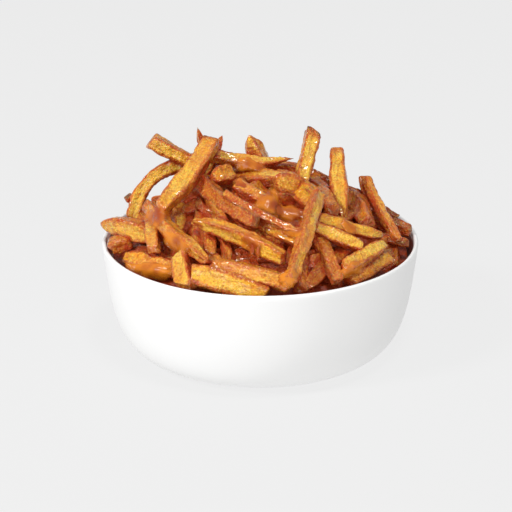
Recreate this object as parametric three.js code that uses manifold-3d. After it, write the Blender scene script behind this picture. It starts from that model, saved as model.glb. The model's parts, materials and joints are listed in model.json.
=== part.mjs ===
// A round white bowl heaped with french fries under a thick caramel-brown sauce.
// Millimetres, +Z up. The origin is on the surface that the bowl stands on, under its middle.
// The front of the dish faces -Y.
import * as THREE from "three";
import { mergeVertices } from "three/addons/utils/BufferGeometryUtils.js";
import Module from "manifold-3d";

const wasm = await Module();
wasm.setup();

// bowl
const RIM_RADIUS = 80;
const BOWL_HEIGHT = 56.5;
const FOOT_RADIUS = 54;
const FOOT_INNER_RADIUS = 47;
const FOOT_RECESS = 1.2;
const FLOOR_THICKNESS = 4.2;
const LIP_THICKNESS = 2.2;
const WALL_THICKNESS = 3.4;
const LOW_PULL = new THREE.Vector2(74, 0);
const HIGH_PULL = new THREE.Vector2(76.5, 20);
const BOWL_SIDES = 48;
const BOWL_CURVE_STEPS = 7;
const LIP_STEPS = 4;

// heap: the surface on which the middle lines of the upper fries lie
const HEAP_EDGE_RADIUS = 78;
const HEAP_EDGE_LEVEL = 52;
const HEAP_RISE = 34;
const HEAP_ROUNDNESS = 0.9;
const HEAP_LOPSIDED = 0.12;
const HEAP_OUTSIDE = -0.2;
const CORE_DEPTH = 8;
const CORE_WALL_LEVEL = 46.5;
const CORE_RADII = [66, 54, 40, 24];
const WALL_GAP = 0.7;
const FRY_WALL_GAP = 1.6;
const OVERHANG_SLOPE = 2;
const LARGEST_OVERHANG = 1.2;

// where a line of sight is followed
const NEAREST_DEPTH = -80;
const FARTHEST_DEPTH = 40;
const DEPTH_STEP = 0.5;
const SIDE_REACH = 68;

// fries
const FRY_STEPS = 3;
const SQUASH = 0.84;
const POINTED_END = 0.5;
const POINTED_POWER = 2;
const BLUNT_POWER = 3;
const SETTLE_ROUNDS = 5;
const SLIMNESS = [0.84, 1];
const ROLL_SPREAD = 0.1;
const PLACED_LARGEST_PUSH = 7;

// the fries at the back, laid by rule
const BACK_FRIES = 38;
const BACK_STEPS = 2;
const BACK_INNER_RADIUS = 10;
const BACK_SPREAD = 58;
const BACK_FIRST_AZIMUTH = 0.01 * Math.PI;
const BACK_AZIMUTHS = 0.98 * Math.PI;
const BACK_TURN = 1.2;
const BACK_LENGTH = [44, 62];
const BACK_WIDTH = [7.6, 10];
const BACK_THICKNESS = [7.2, 9];
const BACK_BOW = [-2, 2];
const BACK_RISE = [-1, 1.5];
const BACK_FIRST_END = [0.45, 0.9];
const BACK_LAST_END = [0.6, 0.9];
const BACK_SLOPE = [0.55, 0.95];
const BACK_SAG = 0.03;
const BACK_ROLL = 0.6;
const BACK_LIFT = -5;
const LEFT_BACK_LIFT = -14;
const LEFT_BACK_FROM = [15, 45];
const RIGHT_BACK_LIFT = -9;
const RIGHT_BACK_FROM = [30, 55];
const BACK_LARGEST_PUSH = 3;
const GOLDEN_SHARE = 0.618034;

// the fries that close the middle of the heap, one layer down
const FILLER_FRIES = 7;
const FILLER_STEPS = 1;
const FILLER_SPREAD = 30;
const FILLER_LENGTH = [40, 54];
const FILLER_LIFT = -9;

// sauce
const SAUCE_COAT = 0.7;
const POOL_HALF_DEPTH = 2.2;
const POOL_SINK = 0.6;
const POOL_SIDES = 7;
const POOL_RINGS = 4;
const POOL_TILT = THREE.MathUtils.degToRad(45);
const SEEN_STEPS = 20;

// two vertices nearer than this are one
const SAME_PLACE = 1e-3;

// the sight line in which the visible fries are placed: from the front and above
const SIGHT_HEIGHT = 30;
const SIGHT_DISTANCE = 800;
const SIGHT_ANGLE = THREE.MathUtils.degToRad(22.4);
const SIGHT_SIN = Math.sin(SIGHT_ANGLE);
const SIGHT_COS = Math.cos(SIGHT_ANGLE);
const SIGHT_UP = new THREE.Vector3(0, SIGHT_SIN, SIGHT_COS);
const TO_EYE = new THREE.Vector3(0, -SIGHT_COS, SIGHT_SIN);
const WORLD_UP = new THREE.Vector3(0, 0, 1);

// The visible fries, in the order in which they settle. Each end is seen at across and up, in mm in
// the plane through the sight point, and lies lift above the heap's surface there. Then come the
// width, the bow to the left of the way from the first end to the second, how much of the width is
// left at each end, the roll about its length in radians and, where sauce lies thick on a fry, the
// stretch of it from 0 to 1.
const PLACED_FRIES = [
  // standing and leaning at the back
  [-5.7, 76.6, 0, 1.5, 50, -9, 12.4, 0.4, 0.04, 0.9, 0.2],
  [-32.3, 80.8, 2, -24.0, 60, -7, 4.8, -0.8, 0.1, 0.9, -0.3],
  [-19.4, 76.2, 3, -28.8, 56, -6, 5.4, 0, 0.2, 0.9, 0],
  [27.5, 78.8, 0, 18.8, 42, -9, 8.4, 0, 0.98, 0.85, -0.1],
  [39.6, 69.0, 0, 43.4, 33, -5, 9.6, -1.0, 0.75, 0.3, 0.1],
  [53.8, 55.6, 0, 60.0, 32, -6, 6.6, 0, 0.75, 0.9, 0.1],
  [-30.0, 67.2, 1, 17.2, 64.2, -2, 8.4, -3.4, 0.9, 0.08, -0.5],
  [-24.8, 54.0, 3, -13.8, 56.4, 1, 10.8, 0, 0.5, 0.5, -0.4],
  [-68.4, 45.4, -8, -62.0, 40.4, -9, 4.4, 0, 0.8, 0.9, 0],
  [-36.0, 62.0, -5, -65.2, 33.0, -3, 7.2, -8.2, 0.9, 0.9, 0],
  [-56.6, 73.6, 2, -31.5, 60.2, 1, 8.2, 0, 0.95, 0.9, 0.1],
  // round the rim, from left to right
  [-82.0, 30.8, 1, -56.0, 25.8, -4, 12.4, 0.6, 0.1, 0.9, 0.3],
  [-77.6, 33.4, -3, -66.0, 30.0, -6, 3.8, 0, 0.6, 0.9, 0],
  [-78.6, 19.8, -3, -65.6, 21.0, -5, 10.4, 0, 0.5, 0.6, 0.4, 0, 1],
  [-69.6, 12.6, -4, -40.0, 5.4, -6, 9.8, 0.4, 0.6, 0.9, -0.5, 0, 1],
  [-40.6, 14.6, -4, -36.4, -2.8, -2, 11.0, 0, 0.85, 0.9, 0.4],
  [-35.0, 5.2, -4, 4.0, -5.4, -3, 11.4, 0.4, 0.85, 0.8, 0],
  [21.0, 24.0, -9, 20.4, -4.0, -7, 8.4, 0, 0.9, 0.9, -0.4],
  [28.5, 29.5, -5, 40.0, 0.6, -1, 8.4, 0, 0.9, 0.8, -0.4, 0, 1],
  [66.4, 13.2, -3, 46.0, 1.6, -5, 8.8, 0, 0.8, 0.9, 0.4],
  [75.4, 31.6, -3, 58.0, 40.6, -7, 5.0, 0, 0.7, 0.9, 0.5],
  [77.8, 27.6, -2, 56.0, 33.6, -6, 8.0, 0, 0.85, 0.9, -0.5, 0, 1],
  [76.6, 20.8, -6, 52.0, 27.0, -9, 5.6, 0, 0.7, 0.9, 0.2],
  [70.8, 22.4, -4, 54.4, 54.4, -3, 6.4, 1.0, 0.8, 0.85, 0.5],
  // the front of the heap, lower ones first
  [-41.0, 44.0, -9, -30.8, 15.6, -7, 8.6, 0, 0.9, 0.9, -0.4],
  [-18.4, 30.0, -7, -17.0, 10.4, -4, 5.6, 0, 0.9, 0.9, -0.3],
  [-56.0, 33.4, -4, -54.4, 17.2, -3, 6.6, 0, 0.9, 0.8, 0.1, 0.3, 1],
  [-41.2, 47.0, -4, -42.6, 25.0, -3, 7.8, 0, 0.8, 0.6, -0.4],
  [-33.2, 48.4, -6, -29.4, 39.0, -6, 8.2, 0, 0.8, 0.8, 0.4],
  [-31.6, 49.4, -3, -18.6, 33.0, -2, 6.2, 0.5, 0.85, 0.85, -0.4],
  [-27.4, 31.0, -6, -26.0, 14.0, -3, 8.4, 0, 0.9, 0.85, -0.4],
  [45.8, 48.0, -1, 54.8, 30.4, -2, 10.8, 1, 0.35, 0.9, 0.5],
  [21.0, 56.4, -6, 42.0, 47.6, -3, 8.8, 0, 0.9, 0.9, 0],
  [2.0, 58.6, -3, 22.6, 58.6, -7, 6.2, 1.0, 0.85, 0.9, 0.4],
  [7.2, 51.4, 1, 22.2, 49.6, 0, 9.6, 0.8, 0.65, 0.65, 0],
  [8.4, 44.0, -4, 36.0, 41.0, -6, 9.0, 0, 0.9, 0.9, 0.3],
  [-12.6, 50.8, 0, 8.0, 39.6, -5, 8.2, 0, 0.85, 0.9, -0.4, 0.5, 1],
  [-12.0, 38.0, -6, 22.0, 21.6, -1, 10.0, 0, 0.9, 0.9, 0, 0.6, 1],
  [-31.5, 54.0, 1, -2.0, 31.5, -2, 8.4, -1.7, 0.85, 0.9, 0.2],
  [25.0, 30.2, -4, 52.8, 18.4, 0, 7.2, 0, 0.9, 0.7, -0.3],
  [28.5, 33.2, -2, 63.0, 24.4, 1, 7.6, -0.8, 0.9, 0.5, -0.4],
  // on top
  [-18.5, 46.6, 2, 18.8, 27.2, 3, 4.6, -1.4, 0.8, 0.85, -0.2],
  [-35.2, 32.2, 2, 12.4, 12.8, 2, 9.8, 2.2, 0.3, 0.85, 0.5, 0.6, 0.7],
  [-25.5, 9.6, -2, 16.6, -0.4, 0, 8.6, 0.3, 0.6, 0.85, 0, 0, 1],
  [63.8, 20.4, 1, 43.8, 8.0, -1, 9.0, 0, 0.5, 0.8, 0.4, 0.6, 1],
  [-57.2, 40.6, 3, -27.0, 11.8, 1, 9.4, -1.6, 0.85, 0.55, 0.5, 0, 1],
  [-24.1, 73.2, 4, -51.2, 37.8, 4, 11.6, 1.8, 0.8, 0.8, 0.5, 0, 0.4],
  [29.8, 46.8, 5, 15.2, 1.4, 3, 8.8, 0, 0.85, 0.9, -0.5, 0.3, 1],
];

// Sauce in pools of their own: across, up, half width and half height.
const SAUCE_POOLS = [
  [3.4, 43.4, 5.6, 6.8],
  [14.0, 39.0, 5.6, 4.2],
  [-55.0, 34.5, 5.8, 6.8],
  [-4.8, 24.6, 5.6, 6.2],
  [47.0, 30.4, 5.2, 3.8],
  [46.0, 10.0, 5.2, 4.4],
];

let drawState = 20731;
// The next draw from 0 to 1 of a linear congruential sequence.
function draw() {
  drawState = (drawState * 1664525 + 1013904223) % 4294967296;
  return drawState / 4294967296;
}

// A draw evenly spread between two values.
function between(low, high) {
  return low + (high - low) * draw();
}

// The outer wall's profile: one cubic curve from the foot to the lip.
function outerWall() {
  return new THREE.CubicBezierCurve(
    new THREE.Vector2(FOOT_RADIUS, 0),
    LOW_PULL,
    HIGH_PULL,
    new THREE.Vector2(RIM_RADIUS, BOWL_HEIGHT - LIP_THICKNESS / 2),
  ).getPoints(BOWL_CURVE_STEPS);
}

// The inner wall's profile, from the flat of the floor to the lip.
function innerWall() {
  const lip = RIM_RADIUS - LIP_THICKNESS;
  return new THREE.CubicBezierCurve(
    new THREE.Vector2(FOOT_RADIUS - WALL_THICKNESS, FLOOR_THICKNESS),
    new THREE.Vector2(LOW_PULL.x - WALL_THICKNESS, FLOOR_THICKNESS),
    new THREE.Vector2(HIGH_PULL.x - WALL_THICKNESS, HIGH_PULL.y + WALL_THICKNESS / 2),
    new THREE.Vector2(lip, BOWL_HEIGHT - LIP_THICKNESS / 2),
  ).getPoints(BOWL_CURVE_STEPS);
}

// A profile of radius and height turned round the upright axis.
function turned(profile) {
  return new THREE.LatheGeometry(profile, BOWL_SIDES).rotateX(Math.PI / 2);
}

// The bowl: a closed profile turned round the axis, with a shallow recess inside its foot.
function bowlGeometry() {
  const profile = [
    new THREE.Vector2(0, FOOT_RECESS),
    new THREE.Vector2(FOOT_INNER_RADIUS - FOOT_RECESS, FOOT_RECESS),
    new THREE.Vector2(FOOT_INNER_RADIUS, 0),
    ...outerWall(),
  ];
  const lipRadius = LIP_THICKNESS / 2;
  for (let i = 1; i < LIP_STEPS; i++) {
    const angle = (Math.PI * i) / LIP_STEPS;
    profile.push(
      new THREE.Vector2(
        RIM_RADIUS - lipRadius + lipRadius * Math.cos(angle),
        BOWL_HEIGHT - lipRadius + lipRadius * Math.sin(angle),
      ),
    );
  }
  profile.push(...innerWall().reverse(), new THREE.Vector2(0, FLOOR_THICKNESS));
  return turned(profile);
}

// The inner wall's radius at a level, read off its profile.
const INNER_PROFILE = innerWall();
function innerRadius(level) {
  const last = INNER_PROFILE.length - 1;
  if (level >= INNER_PROFILE[last].y) return INNER_PROFILE[last].x;
  for (let i = 1; i <= last; i++) {
    const low = INNER_PROFILE[i - 1];
    const high = INNER_PROFILE[i];
    if (level <= high.y) {
      const share = Math.max(0, (level - low.y) / (high.y - low.y));
      return low.x + (high.x - low.x) * share;
    }
  }
  return INNER_PROFILE[last].x;
}

// The heap's surface: highest in the middle, falling to its edge inside the rim and on past it.
function heapLevel(x, y) {
  const inside = Math.max(HEAP_OUTSIDE, 1 - (x * x + y * y) / HEAP_EDGE_RADIUS ** 2);
  const rise = HEAP_RISE * (1 - (HEAP_LOPSIDED * x) / HEAP_EDGE_RADIUS);
  return HEAP_EDGE_LEVEL + rise * Math.sign(inside) * Math.abs(inside) ** HEAP_ROUNDNESS;
}

// The point at a depth behind the sight point that is seen at across and up.
function seenPoint(across, up, depth) {
  const above =
    (up * (1 + (depth * SIGHT_COS) / SIGHT_DISTANCE) - depth * SIGHT_SIN) /
    (SIGHT_COS + (up * SIGHT_SIN) / SIGHT_DISTANCE);
  const nearer = above * SIGHT_SIN - depth * SIGHT_COS;
  const x = (across * (SIGHT_DISTANCE - nearer)) / SIGHT_DISTANCE;
  return new THREE.Vector3(x, depth, SIGHT_HEIGHT + above);
}

// Where the line of sight at across and up meets the heap's surface raised by lift, or passes
// closest over it. A point past the heap's side is level with the side's own.
function pointOnHeap(across, up, lift) {
  const sideways = THREE.MathUtils.clamp(across, -SIDE_REACH, SIDE_REACH);
  let nearest = NEAREST_DEPTH;
  let closest = Infinity;
  for (let depth = NEAREST_DEPTH; depth <= FARTHEST_DEPTH; depth += DEPTH_STEP) {
    const point = seenPoint(sideways, up, depth);
    const over = point.z - heapLevel(point.x, point.y) - lift;
    if (over < closest) {
      closest = over;
      nearest = depth;
    }
    if (over <= 0) break;
  }
  return seenPoint(across, up, nearest);
}

// A fry seen from the front, with its bow in the plane of sight. Its width is the one seen, so a fry
// rolled about its length is a little slimmer than that.
function placedFry(row) {
  const [across1, up1, lift1, across2, up2, lift2, seenWidth, bow, end1, end2, lean, ...coat] = row;
  const length = Math.hypot(across2 - across1, up2 - up1);
  const bend = new THREE.Vector3((-bow * (up2 - up1)) / length, 0, 0);
  bend.addScaledVector(SIGHT_UP, (bow * (across2 - across1)) / length);
  const slimness = between(...SLIMNESS);
  const roll = lean + between(-ROLL_SPREAD, ROLL_SPREAD);
  const width = seenWidth / (Math.cos(roll) + slimness * Math.sin(Math.abs(roll)));
  return {
    start: pointOnHeap(across1, up1, lift1),
    finish: pointOnHeap(across2, up2, lift2),
    width,
    depth: width * slimness,
    bend,
    ends: [end1, end2],
    roll,
    push: TO_EYE,
    coat,
    steps: FRY_STEPS,
  };
}

// A fry laid over the heap at a radius and azimuth, along a heading, tilted with the slope.
function laidFry(radius, azimuth, heading, length, lift) {
  const x = radius * Math.cos(azimuth);
  const y = radius * Math.sin(azimuth);
  const reach = new THREE.Vector3(Math.cos(heading), Math.sin(heading), 0);
  reach.multiplyScalar(length / 2);
  const ahead = heapLevel(x + reach.x, y + reach.y);
  const behind = heapLevel(x - reach.x, y - reach.y);
  reach.z = ((ahead - behind) / 2) * between(...BACK_SLOPE);
  const middle = new THREE.Vector3(x, y, heapLevel(x, y) + lift - length * BACK_SAG);
  return {
    start: middle.clone().sub(reach),
    finish: middle.clone().add(reach),
    width: between(...BACK_WIDTH),
    depth: between(...BACK_THICKNESS),
    bend: new THREE.Vector3(between(...BACK_BOW), between(...BACK_BOW), between(...BACK_RISE)),
    ends: [between(...BACK_FIRST_END), between(...BACK_LAST_END)],
    roll: between(-BACK_ROLL, BACK_ROLL),
    push: WORLD_UP,
    coat: [],
    steps: BACK_STEPS,
  };
}

// The closest approach of two fries' middle lines: how far apart they are, and where on each.
function closestApproach(one, other) {
  const along = one.finish.clone().sub(one.start);
  const alongOther = other.finish.clone().sub(other.start);
  const gap = one.start.clone().sub(other.start);
  const a = along.dot(along);
  const e = alongOther.dot(alongOther);
  const f = alongOther.dot(gap);
  const c = along.dot(gap);
  const b = along.dot(alongOther);
  const clamp = (value) => Math.min(1, Math.max(0, value));
  let share = clamp((b * f - c * e) / Math.max(a * e - b * b, 1e-9));
  const shareOther = clamp((b * share + f) / e);
  share = clamp((b * shareOther - c) / a);
  const here = one.start.clone().addScaledVector(along, share);
  const there = other.start.clone().addScaledVector(alongOther, shareOther);
  return { distance: here.distanceTo(there), share };
}

// Pushes a fry clear of those already settled, each end by its share of the contact.
function settle(fry, settled, largestPush) {
  let pushedStart = 0;
  let pushedFinish = 0;
  for (let round = 0; round < SETTLE_ROUNDS; round++) {
    for (const other of settled) {
      const { distance, share } = closestApproach(fry, other);
      const clear = ((fry.depth + other.depth) / 2) * SQUASH;
      if (distance >= clear) continue;
      const push = clear - distance;
      const atStart = Math.min(push * (1 - share), largestPush - pushedStart);
      const atFinish = Math.min(push * share, largestPush - pushedFinish);
      fry.start.addScaledVector(fry.push, atStart);
      fry.finish.addScaledVector(fry.push, atFinish);
      pushedStart += atStart;
      pushedFinish += atFinish;
    }
  }
  settled.push(fry);
}

// How far the back lies under the heap's surface: deeper to the left, and a little to the right.
function backLift(across) {
  const left = THREE.MathUtils.smoothstep(-across, ...LEFT_BACK_FROM);
  const right = THREE.MathUtils.smoothstep(across, ...RIGHT_BACK_FROM);
  return BACK_LIFT + LEFT_BACK_LIFT * left + RIGHT_BACK_LIFT * right;
}

// The fries: the ones seen from the front, then by rule the back and the middle's lower layer.
function allFries() {
  const fries = [];
  for (const row of PLACED_FRIES) settle(placedFry(row), fries, PLACED_LARGEST_PUSH);
  for (let i = 0; i < BACK_FRIES; i++) {
    const outward = Math.sqrt((i + 0.5) / BACK_FRIES);
    const radius = BACK_INNER_RADIUS + BACK_SPREAD * outward;
    const azimuth = BACK_FIRST_AZIMUTH + BACK_AZIMUTHS * ((i * GOLDEN_SHARE) % 1);
    const turn = between(-BACK_TURN, BACK_TURN) * (BACK_TURN - outward);
    const length = between(...BACK_LENGTH);
    const lift = backLift(radius * Math.cos(azimuth));
    const fry = laidFry(radius, azimuth, azimuth + Math.PI / 2 + turn, length, lift);
    settle(fry, fries, BACK_LARGEST_PUSH);
  }
  for (let i = 0; i < FILLER_FRIES; i++) {
    const radius = FILLER_SPREAD * Math.sqrt((i + 0.5) / FILLER_FRIES);
    const azimuth = 2 * Math.PI * ((i * GOLDEN_SHARE) % 1);
    const heading = between(0, Math.PI);
    const length = between(...FILLER_LENGTH);
    const fry = laidFry(radius, azimuth, heading, length, FILLER_LIFT);
    fries.push({ ...fry, steps: FILLER_STEPS });
  }
  return fries;
}

// Keeps a point of the food inside the bowl's wall, and over the lip once it is above it.
function keepInBowl(point) {
  const radius = Math.hypot(point.x, point.y);
  const lipLevel = BOWL_HEIGHT + WALL_GAP;
  let limit = innerRadius(point.z) - FRY_WALL_GAP;
  if (point.z > lipLevel) limit += (point.z - lipLevel) * OVERHANG_SLOPE;
  limit = Math.min(limit, RIM_RADIUS + LARGEST_OVERHANG);
  if (radius > limit) {
    point.x *= limit / radius;
    point.y *= limit / radius;
  }
  point.z = Math.max(point.z, FLOOR_THICKNESS + FRY_WALL_GAP);
}

// A fry's bowed middle line.
function fryPath(fry) {
  const middle = fry.start.clone().add(fry.finish).multiplyScalar(0.5);
  middle.addScaledVector(fry.bend, 2);
  return new THREE.QuadraticBezierCurve3(fry.start, middle, fry.finish);
}

// A fry's form: a square section carried along its bowed middle line, narrowed towards its ends and
// grown where thick sauce coats it.
function fryGeometry(fry) {
  const geometry = new THREE.CylinderGeometry(Math.SQRT2, Math.SQRT2, 1, 4, fry.steps);
  geometry.rotateY(Math.PI / 4);
  const path = fryPath(fry);
  const [coatFrom, coatTo] = fry.coat;
  const positions = geometry.attributes.position;
  const point = new THREE.Vector3();
  for (let i = 0; i < positions.count; i++) {
    const along = 0.5 - positions.getY(i);
    const tangent = path.getTangent(along);
    const side = fry.push.clone().cross(tangent).normalize();
    const face = tangent.clone().cross(side).normalize();
    side.applyAxisAngle(tangent, fry.roll);
    face.applyAxisAngle(tangent, fry.roll);
    const narrowing = along < 0.5 ? fry.ends[0] : fry.ends[1];
    const power = narrowing < POINTED_END ? POINTED_POWER : BLUNT_POWER;
    const towardsEnd = Math.abs(2 * along - 1) ** power;
    const fullness = 1 - (1 - narrowing) * towardsEnd;
    const coat = along >= coatFrom && along <= coatTo ? SAUCE_COAT : 0;
    path.getPoint(along, point);
    point.addScaledVector(side, positions.getX(i) * ((fry.width / 2) * fullness + coat));
    point.addScaledVector(face, positions.getZ(i) * ((fry.depth / 2) * fullness + coat));
    keepInBowl(point);
    positions.setXYZ(i, point.x, point.y, point.z);
  }
  return geometry;
}

// Where a point is seen in the plane through the sight point, and how near the eye it is.
function seenAt(point) {
  const above = point.z - SIGHT_HEIGHT;
  const nearer = above * SIGHT_SIN - point.y * SIGHT_COS;
  const scale = SIGHT_DISTANCE / (SIGHT_DISTANCE - nearer);
  const up = (above * SIGHT_COS + point.y * SIGHT_SIN) * scale;
  return { across: point.x * scale, up, nearer };
}

// The point nearest the eye on the front of any fry seen at across and up.
function frontPoint(fries, across, up) {
  let front = null;
  let nearest = -Infinity;
  for (const fry of fries) {
    const path = fryPath(fry);
    for (let step = 0; step <= SEEN_STEPS; step++) {
      const point = path.getPoint(step / SEEN_STEPS);
      const seen = seenAt(point);
      const apart = Math.hypot(seen.across - across, seen.up - up);
      if (apart > fry.width / 2 || seen.nearer + fry.depth / 2 < nearest) continue;
      nearest = seen.nearer + fry.depth / 2;
      front = point.addScaledVector(TO_EYE, fry.depth / 2 - POOL_SINK);
    }
  }
  return front;
}

// A pool of sauce: a flattened ball half sunk in the fries, facing the front and up.
function poolGeometry(fries, [across, up, halfWidth, halfHeight]) {
  const geometry = new THREE.SphereGeometry(1, POOL_SIDES, POOL_RINGS);
  const centre = frontPoint(fries, across, up);
  geometry.rotateX(Math.PI / 2);
  geometry.scale(halfWidth, POOL_HALF_DEPTH, halfHeight);
  geometry.rotateX(-POOL_TILT);
  geometry.translate(centre.x, centre.y, centre.z);
  return geometry;
}

// The core under the fries: it fills the bowl to a low dome below the lower layer.
function coreGeometry() {
  const profile = [new THREE.Vector2(0, FLOOR_THICKNESS + WALL_GAP)];
  for (const { x, y } of innerWall()) {
    if (y < CORE_WALL_LEVEL) profile.push(new THREE.Vector2(x - WALL_GAP, y + WALL_GAP));
  }
  profile.push(new THREE.Vector2(innerRadius(CORE_WALL_LEVEL) - WALL_GAP, CORE_WALL_LEVEL));
  for (const radius of CORE_RADII) {
    const level = heapLevel(0, radius) - CORE_DEPTH;
    profile.push(new THREE.Vector2(radius, Math.max(level, CORE_WALL_LEVEL)));
  }
  profile.push(new THREE.Vector2(0, heapLevel(0, 0) - CORE_DEPTH));
  return turned(profile);
}

// A closed geometry as a solid that can be joined and cut, its vertices merged within SAME_PLACE.
function solidFrom(geometry) {
  const bare = geometry.clone();
  bare.deleteAttribute("normal");
  bare.deleteAttribute("uv");
  const merged = mergeVertices(bare, SAME_PLACE);
  return new wasm.Manifold(
    new wasm.Mesh({
      numProp: 3,
      vertProperties: new Float32Array(merged.attributes.position.array),
      triVerts: new Uint32Array(merged.index.array),
    }),
  );
}

// A solid's vertices and triangles as a geometry.
function geometryFrom(solid) {
  const { vertProperties, triVerts, numProp } = solid.getMesh();
  const count = vertProperties.length / numProp;
  const positions = new Float32Array(count * 3);
  for (let i = 0; i < count; i++) {
    positions.set(vertProperties.subarray(i * numProp, i * numProp + 3), i * 3);
  }
  const geometry = new THREE.BufferGeometry();
  geometry.setAttribute("position", new THREE.BufferAttribute(positions, 3));
  geometry.setIndex(new THREE.BufferAttribute(new Uint32Array(triVerts), 1));
  return geometry;
}

// Keeps the largest shell of a geometry, by the edges that its triangles share: sealed hollows are
// filled and loose scraps dropped.
function largestShell(geometry) {
  const index = geometry.index.array;
  const triangles = index.length / 3;
  const parent = Array.from({ length: triangles }, (_, i) => i);
  const rootOf = (i) => {
    while (parent[i] !== i) {
      parent[i] = parent[parent[i]];
      i = parent[i];
    }
    return i;
  };
  const sides = new Map();
  for (let i = 0; i < index.length; i++) {
    const from = index[i];
    const to = index[i % 3 === 2 ? i - 2 : i + 1];
    const triangle = Math.floor(i / 3);
    const key = Math.min(from, to) + "_" + Math.max(from, to);
    if (sides.has(key)) parent[rootOf(triangle)] = rootOf(sides.get(key));
    else sides.set(key, triangle);
  }
  const sizes = new Map();
  for (let i = 0; i < triangles; i++) {
    sizes.set(rootOf(i), (sizes.get(rootOf(i)) ?? 0) + 1);
  }
  const largest = [...sizes].sort((a, b) => b[1] - a[1])[0][0];
  const kept = [];
  for (let i = 0; i < index.length; i++) {
    if (rootOf(Math.floor(i / 3)) === largest) kept.push(index[i]);
  }
  geometry.setIndex(kept);
  return geometry;
}

// The heap: the core with the fries and the thick sauce fused on.
function heapGeometry() {
  const fries = allFries();
  let heap = solidFrom(coreGeometry());
  for (const fry of fries) heap = heap.add(solidFrom(fryGeometry(fry)));
  for (const pool of SAUCE_POOLS) heap = heap.add(solidFrom(poolGeometry(fries, pool)));
  return largestShell(geometryFrom(solidFrom(geometryFrom(heap))));
}

// A named piece in its colour.
function piece(name, geometry, color, roughness) {
  const material = new THREE.MeshStandardMaterial({ color, roughness, metalness: 0 });
  const mesh = new THREE.Mesh(geometry, material);
  mesh.name = name;
  return mesh;
}

const dish = new THREE.Group();
dish.add(piece("bowl", bowlGeometry(), 0xf7f7f6, 0.3));
dish.add(piece("fries", heapGeometry(), 0xd98f2e, 0.5));

export default dish;
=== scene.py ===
"""A white bowl heaped with french fries under a thick caramel-brown sauce.

Lengths are metres, +Z is up and the front of the dish faces -Y. Each piece is a surface worked out
with numpy, and each material is built from nodes.
"""

import itertools
import json
import math

import bpy
import numpy as np
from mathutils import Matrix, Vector

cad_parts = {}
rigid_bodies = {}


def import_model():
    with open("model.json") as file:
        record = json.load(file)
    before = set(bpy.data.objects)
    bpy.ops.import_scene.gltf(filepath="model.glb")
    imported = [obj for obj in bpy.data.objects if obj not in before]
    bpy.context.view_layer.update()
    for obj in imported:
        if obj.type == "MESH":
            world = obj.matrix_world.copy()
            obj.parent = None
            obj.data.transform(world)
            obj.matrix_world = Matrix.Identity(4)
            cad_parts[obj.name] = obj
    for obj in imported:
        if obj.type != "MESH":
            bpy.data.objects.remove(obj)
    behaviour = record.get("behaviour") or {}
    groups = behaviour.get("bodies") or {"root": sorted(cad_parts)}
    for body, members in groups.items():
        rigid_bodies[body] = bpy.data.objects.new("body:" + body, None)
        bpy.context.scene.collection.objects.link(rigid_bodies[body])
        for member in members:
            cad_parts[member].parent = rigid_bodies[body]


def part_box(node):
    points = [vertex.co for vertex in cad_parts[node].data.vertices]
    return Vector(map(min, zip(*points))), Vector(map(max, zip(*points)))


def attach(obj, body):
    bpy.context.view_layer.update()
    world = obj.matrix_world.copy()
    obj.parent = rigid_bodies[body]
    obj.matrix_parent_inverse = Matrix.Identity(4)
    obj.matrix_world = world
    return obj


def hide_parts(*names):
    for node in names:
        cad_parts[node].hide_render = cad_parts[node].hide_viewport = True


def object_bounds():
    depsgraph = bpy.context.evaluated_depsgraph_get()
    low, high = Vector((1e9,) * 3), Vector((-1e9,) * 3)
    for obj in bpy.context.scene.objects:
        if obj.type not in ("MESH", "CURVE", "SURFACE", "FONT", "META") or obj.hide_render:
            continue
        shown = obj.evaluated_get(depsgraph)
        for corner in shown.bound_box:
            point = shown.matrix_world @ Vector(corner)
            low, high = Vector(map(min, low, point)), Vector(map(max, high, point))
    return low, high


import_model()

bl_info = {
    "name": "Dish of French Fries",
    "version": (1, 0, 0),
    "blender": (4, 5, 0),
    "location": "View3D > Sidebar > Dish",
    "description": "Makes a bowl heaped with french fries and brown sauce",
    "category": "Add Mesh",
}

MM = 0.001
TINY = 1e-9
SOLID_LOW, SOLID_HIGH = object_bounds()
BOWL_LOW, BOWL_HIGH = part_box("bowl")
RIM_RADIUS = (BOWL_HIGH[0] - BOWL_LOW[0]) / 2
BOWL_HEIGHT = BOWL_HIGH[2] - BOWL_LOW[2]

# bowl
FOOT_RADIUS = 0.054
FOOT_INNER_RADIUS = 0.047
FOOT_RECESS = 0.0012
FLOOR_THICKNESS = 0.0042
LIP_THICKNESS = 0.0022
WALL_THICKNESS = 0.0034
LOW_PULL = (0.074, 0.0)
HIGH_PULL = (0.0765, 0.020)
BOWL_SIDES = 288
BOWL_CURVE_STEPS = 56
LIP_STEPS = 10

# painted shade in a band round the inside of the bowl's wall, next to the food
WALL_SHADE_INSIDE = 0.0780
WALL_SHADE_OUTSIDE = 0.0784
WALL_SHADE_FOOT = (0.0445, 0.0475)
WALL_SHADE_TOP = 0.0520
WALL_SHADE_FADE = 0.0014
WALL_SHADE_WAVER = 0.004
WALL_SHADE_STRENGTH = 0.92
WALL_SHADE_DARKNESS = 0.45

# heap: the surface on which the middle lines of the upper fries lie
HEAP_EDGE_RADIUS = 0.078
HEAP_EDGE_LEVEL = 0.052
HEAP_RISE = 0.034
HEAP_ROUNDNESS = 0.9
HEAP_LOPSIDED = 0.12
HEAP_OUTERMOST = -0.2

# core, and where food may be
CORE_DEPTH = 0.0120
CORE_WALL_LEVEL = 0.0465
CORE_RELIEF = 0.0022
CORE_RELIEF_START = (-0.004, 0.002)
CORE_SIDES = 180
CORE_STEPS = 90
WALL_GAP = 0.0007
FRY_WALL_GAP = 0.0016
OVERHANG_SLOPE = 2
LARGEST_OVERHANG = 0.0012
BOX_GAP = 5e-5

# where a line of sight is followed
NEAREST_DEPTH = -0.080
FARTHEST_DEPTH = 0.040
DEPTH_STEP = 0.0005
SIDE_REACH = 0.068
SEEN_REACH = 0.0022
FEWEST_SEEN = 20

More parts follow.
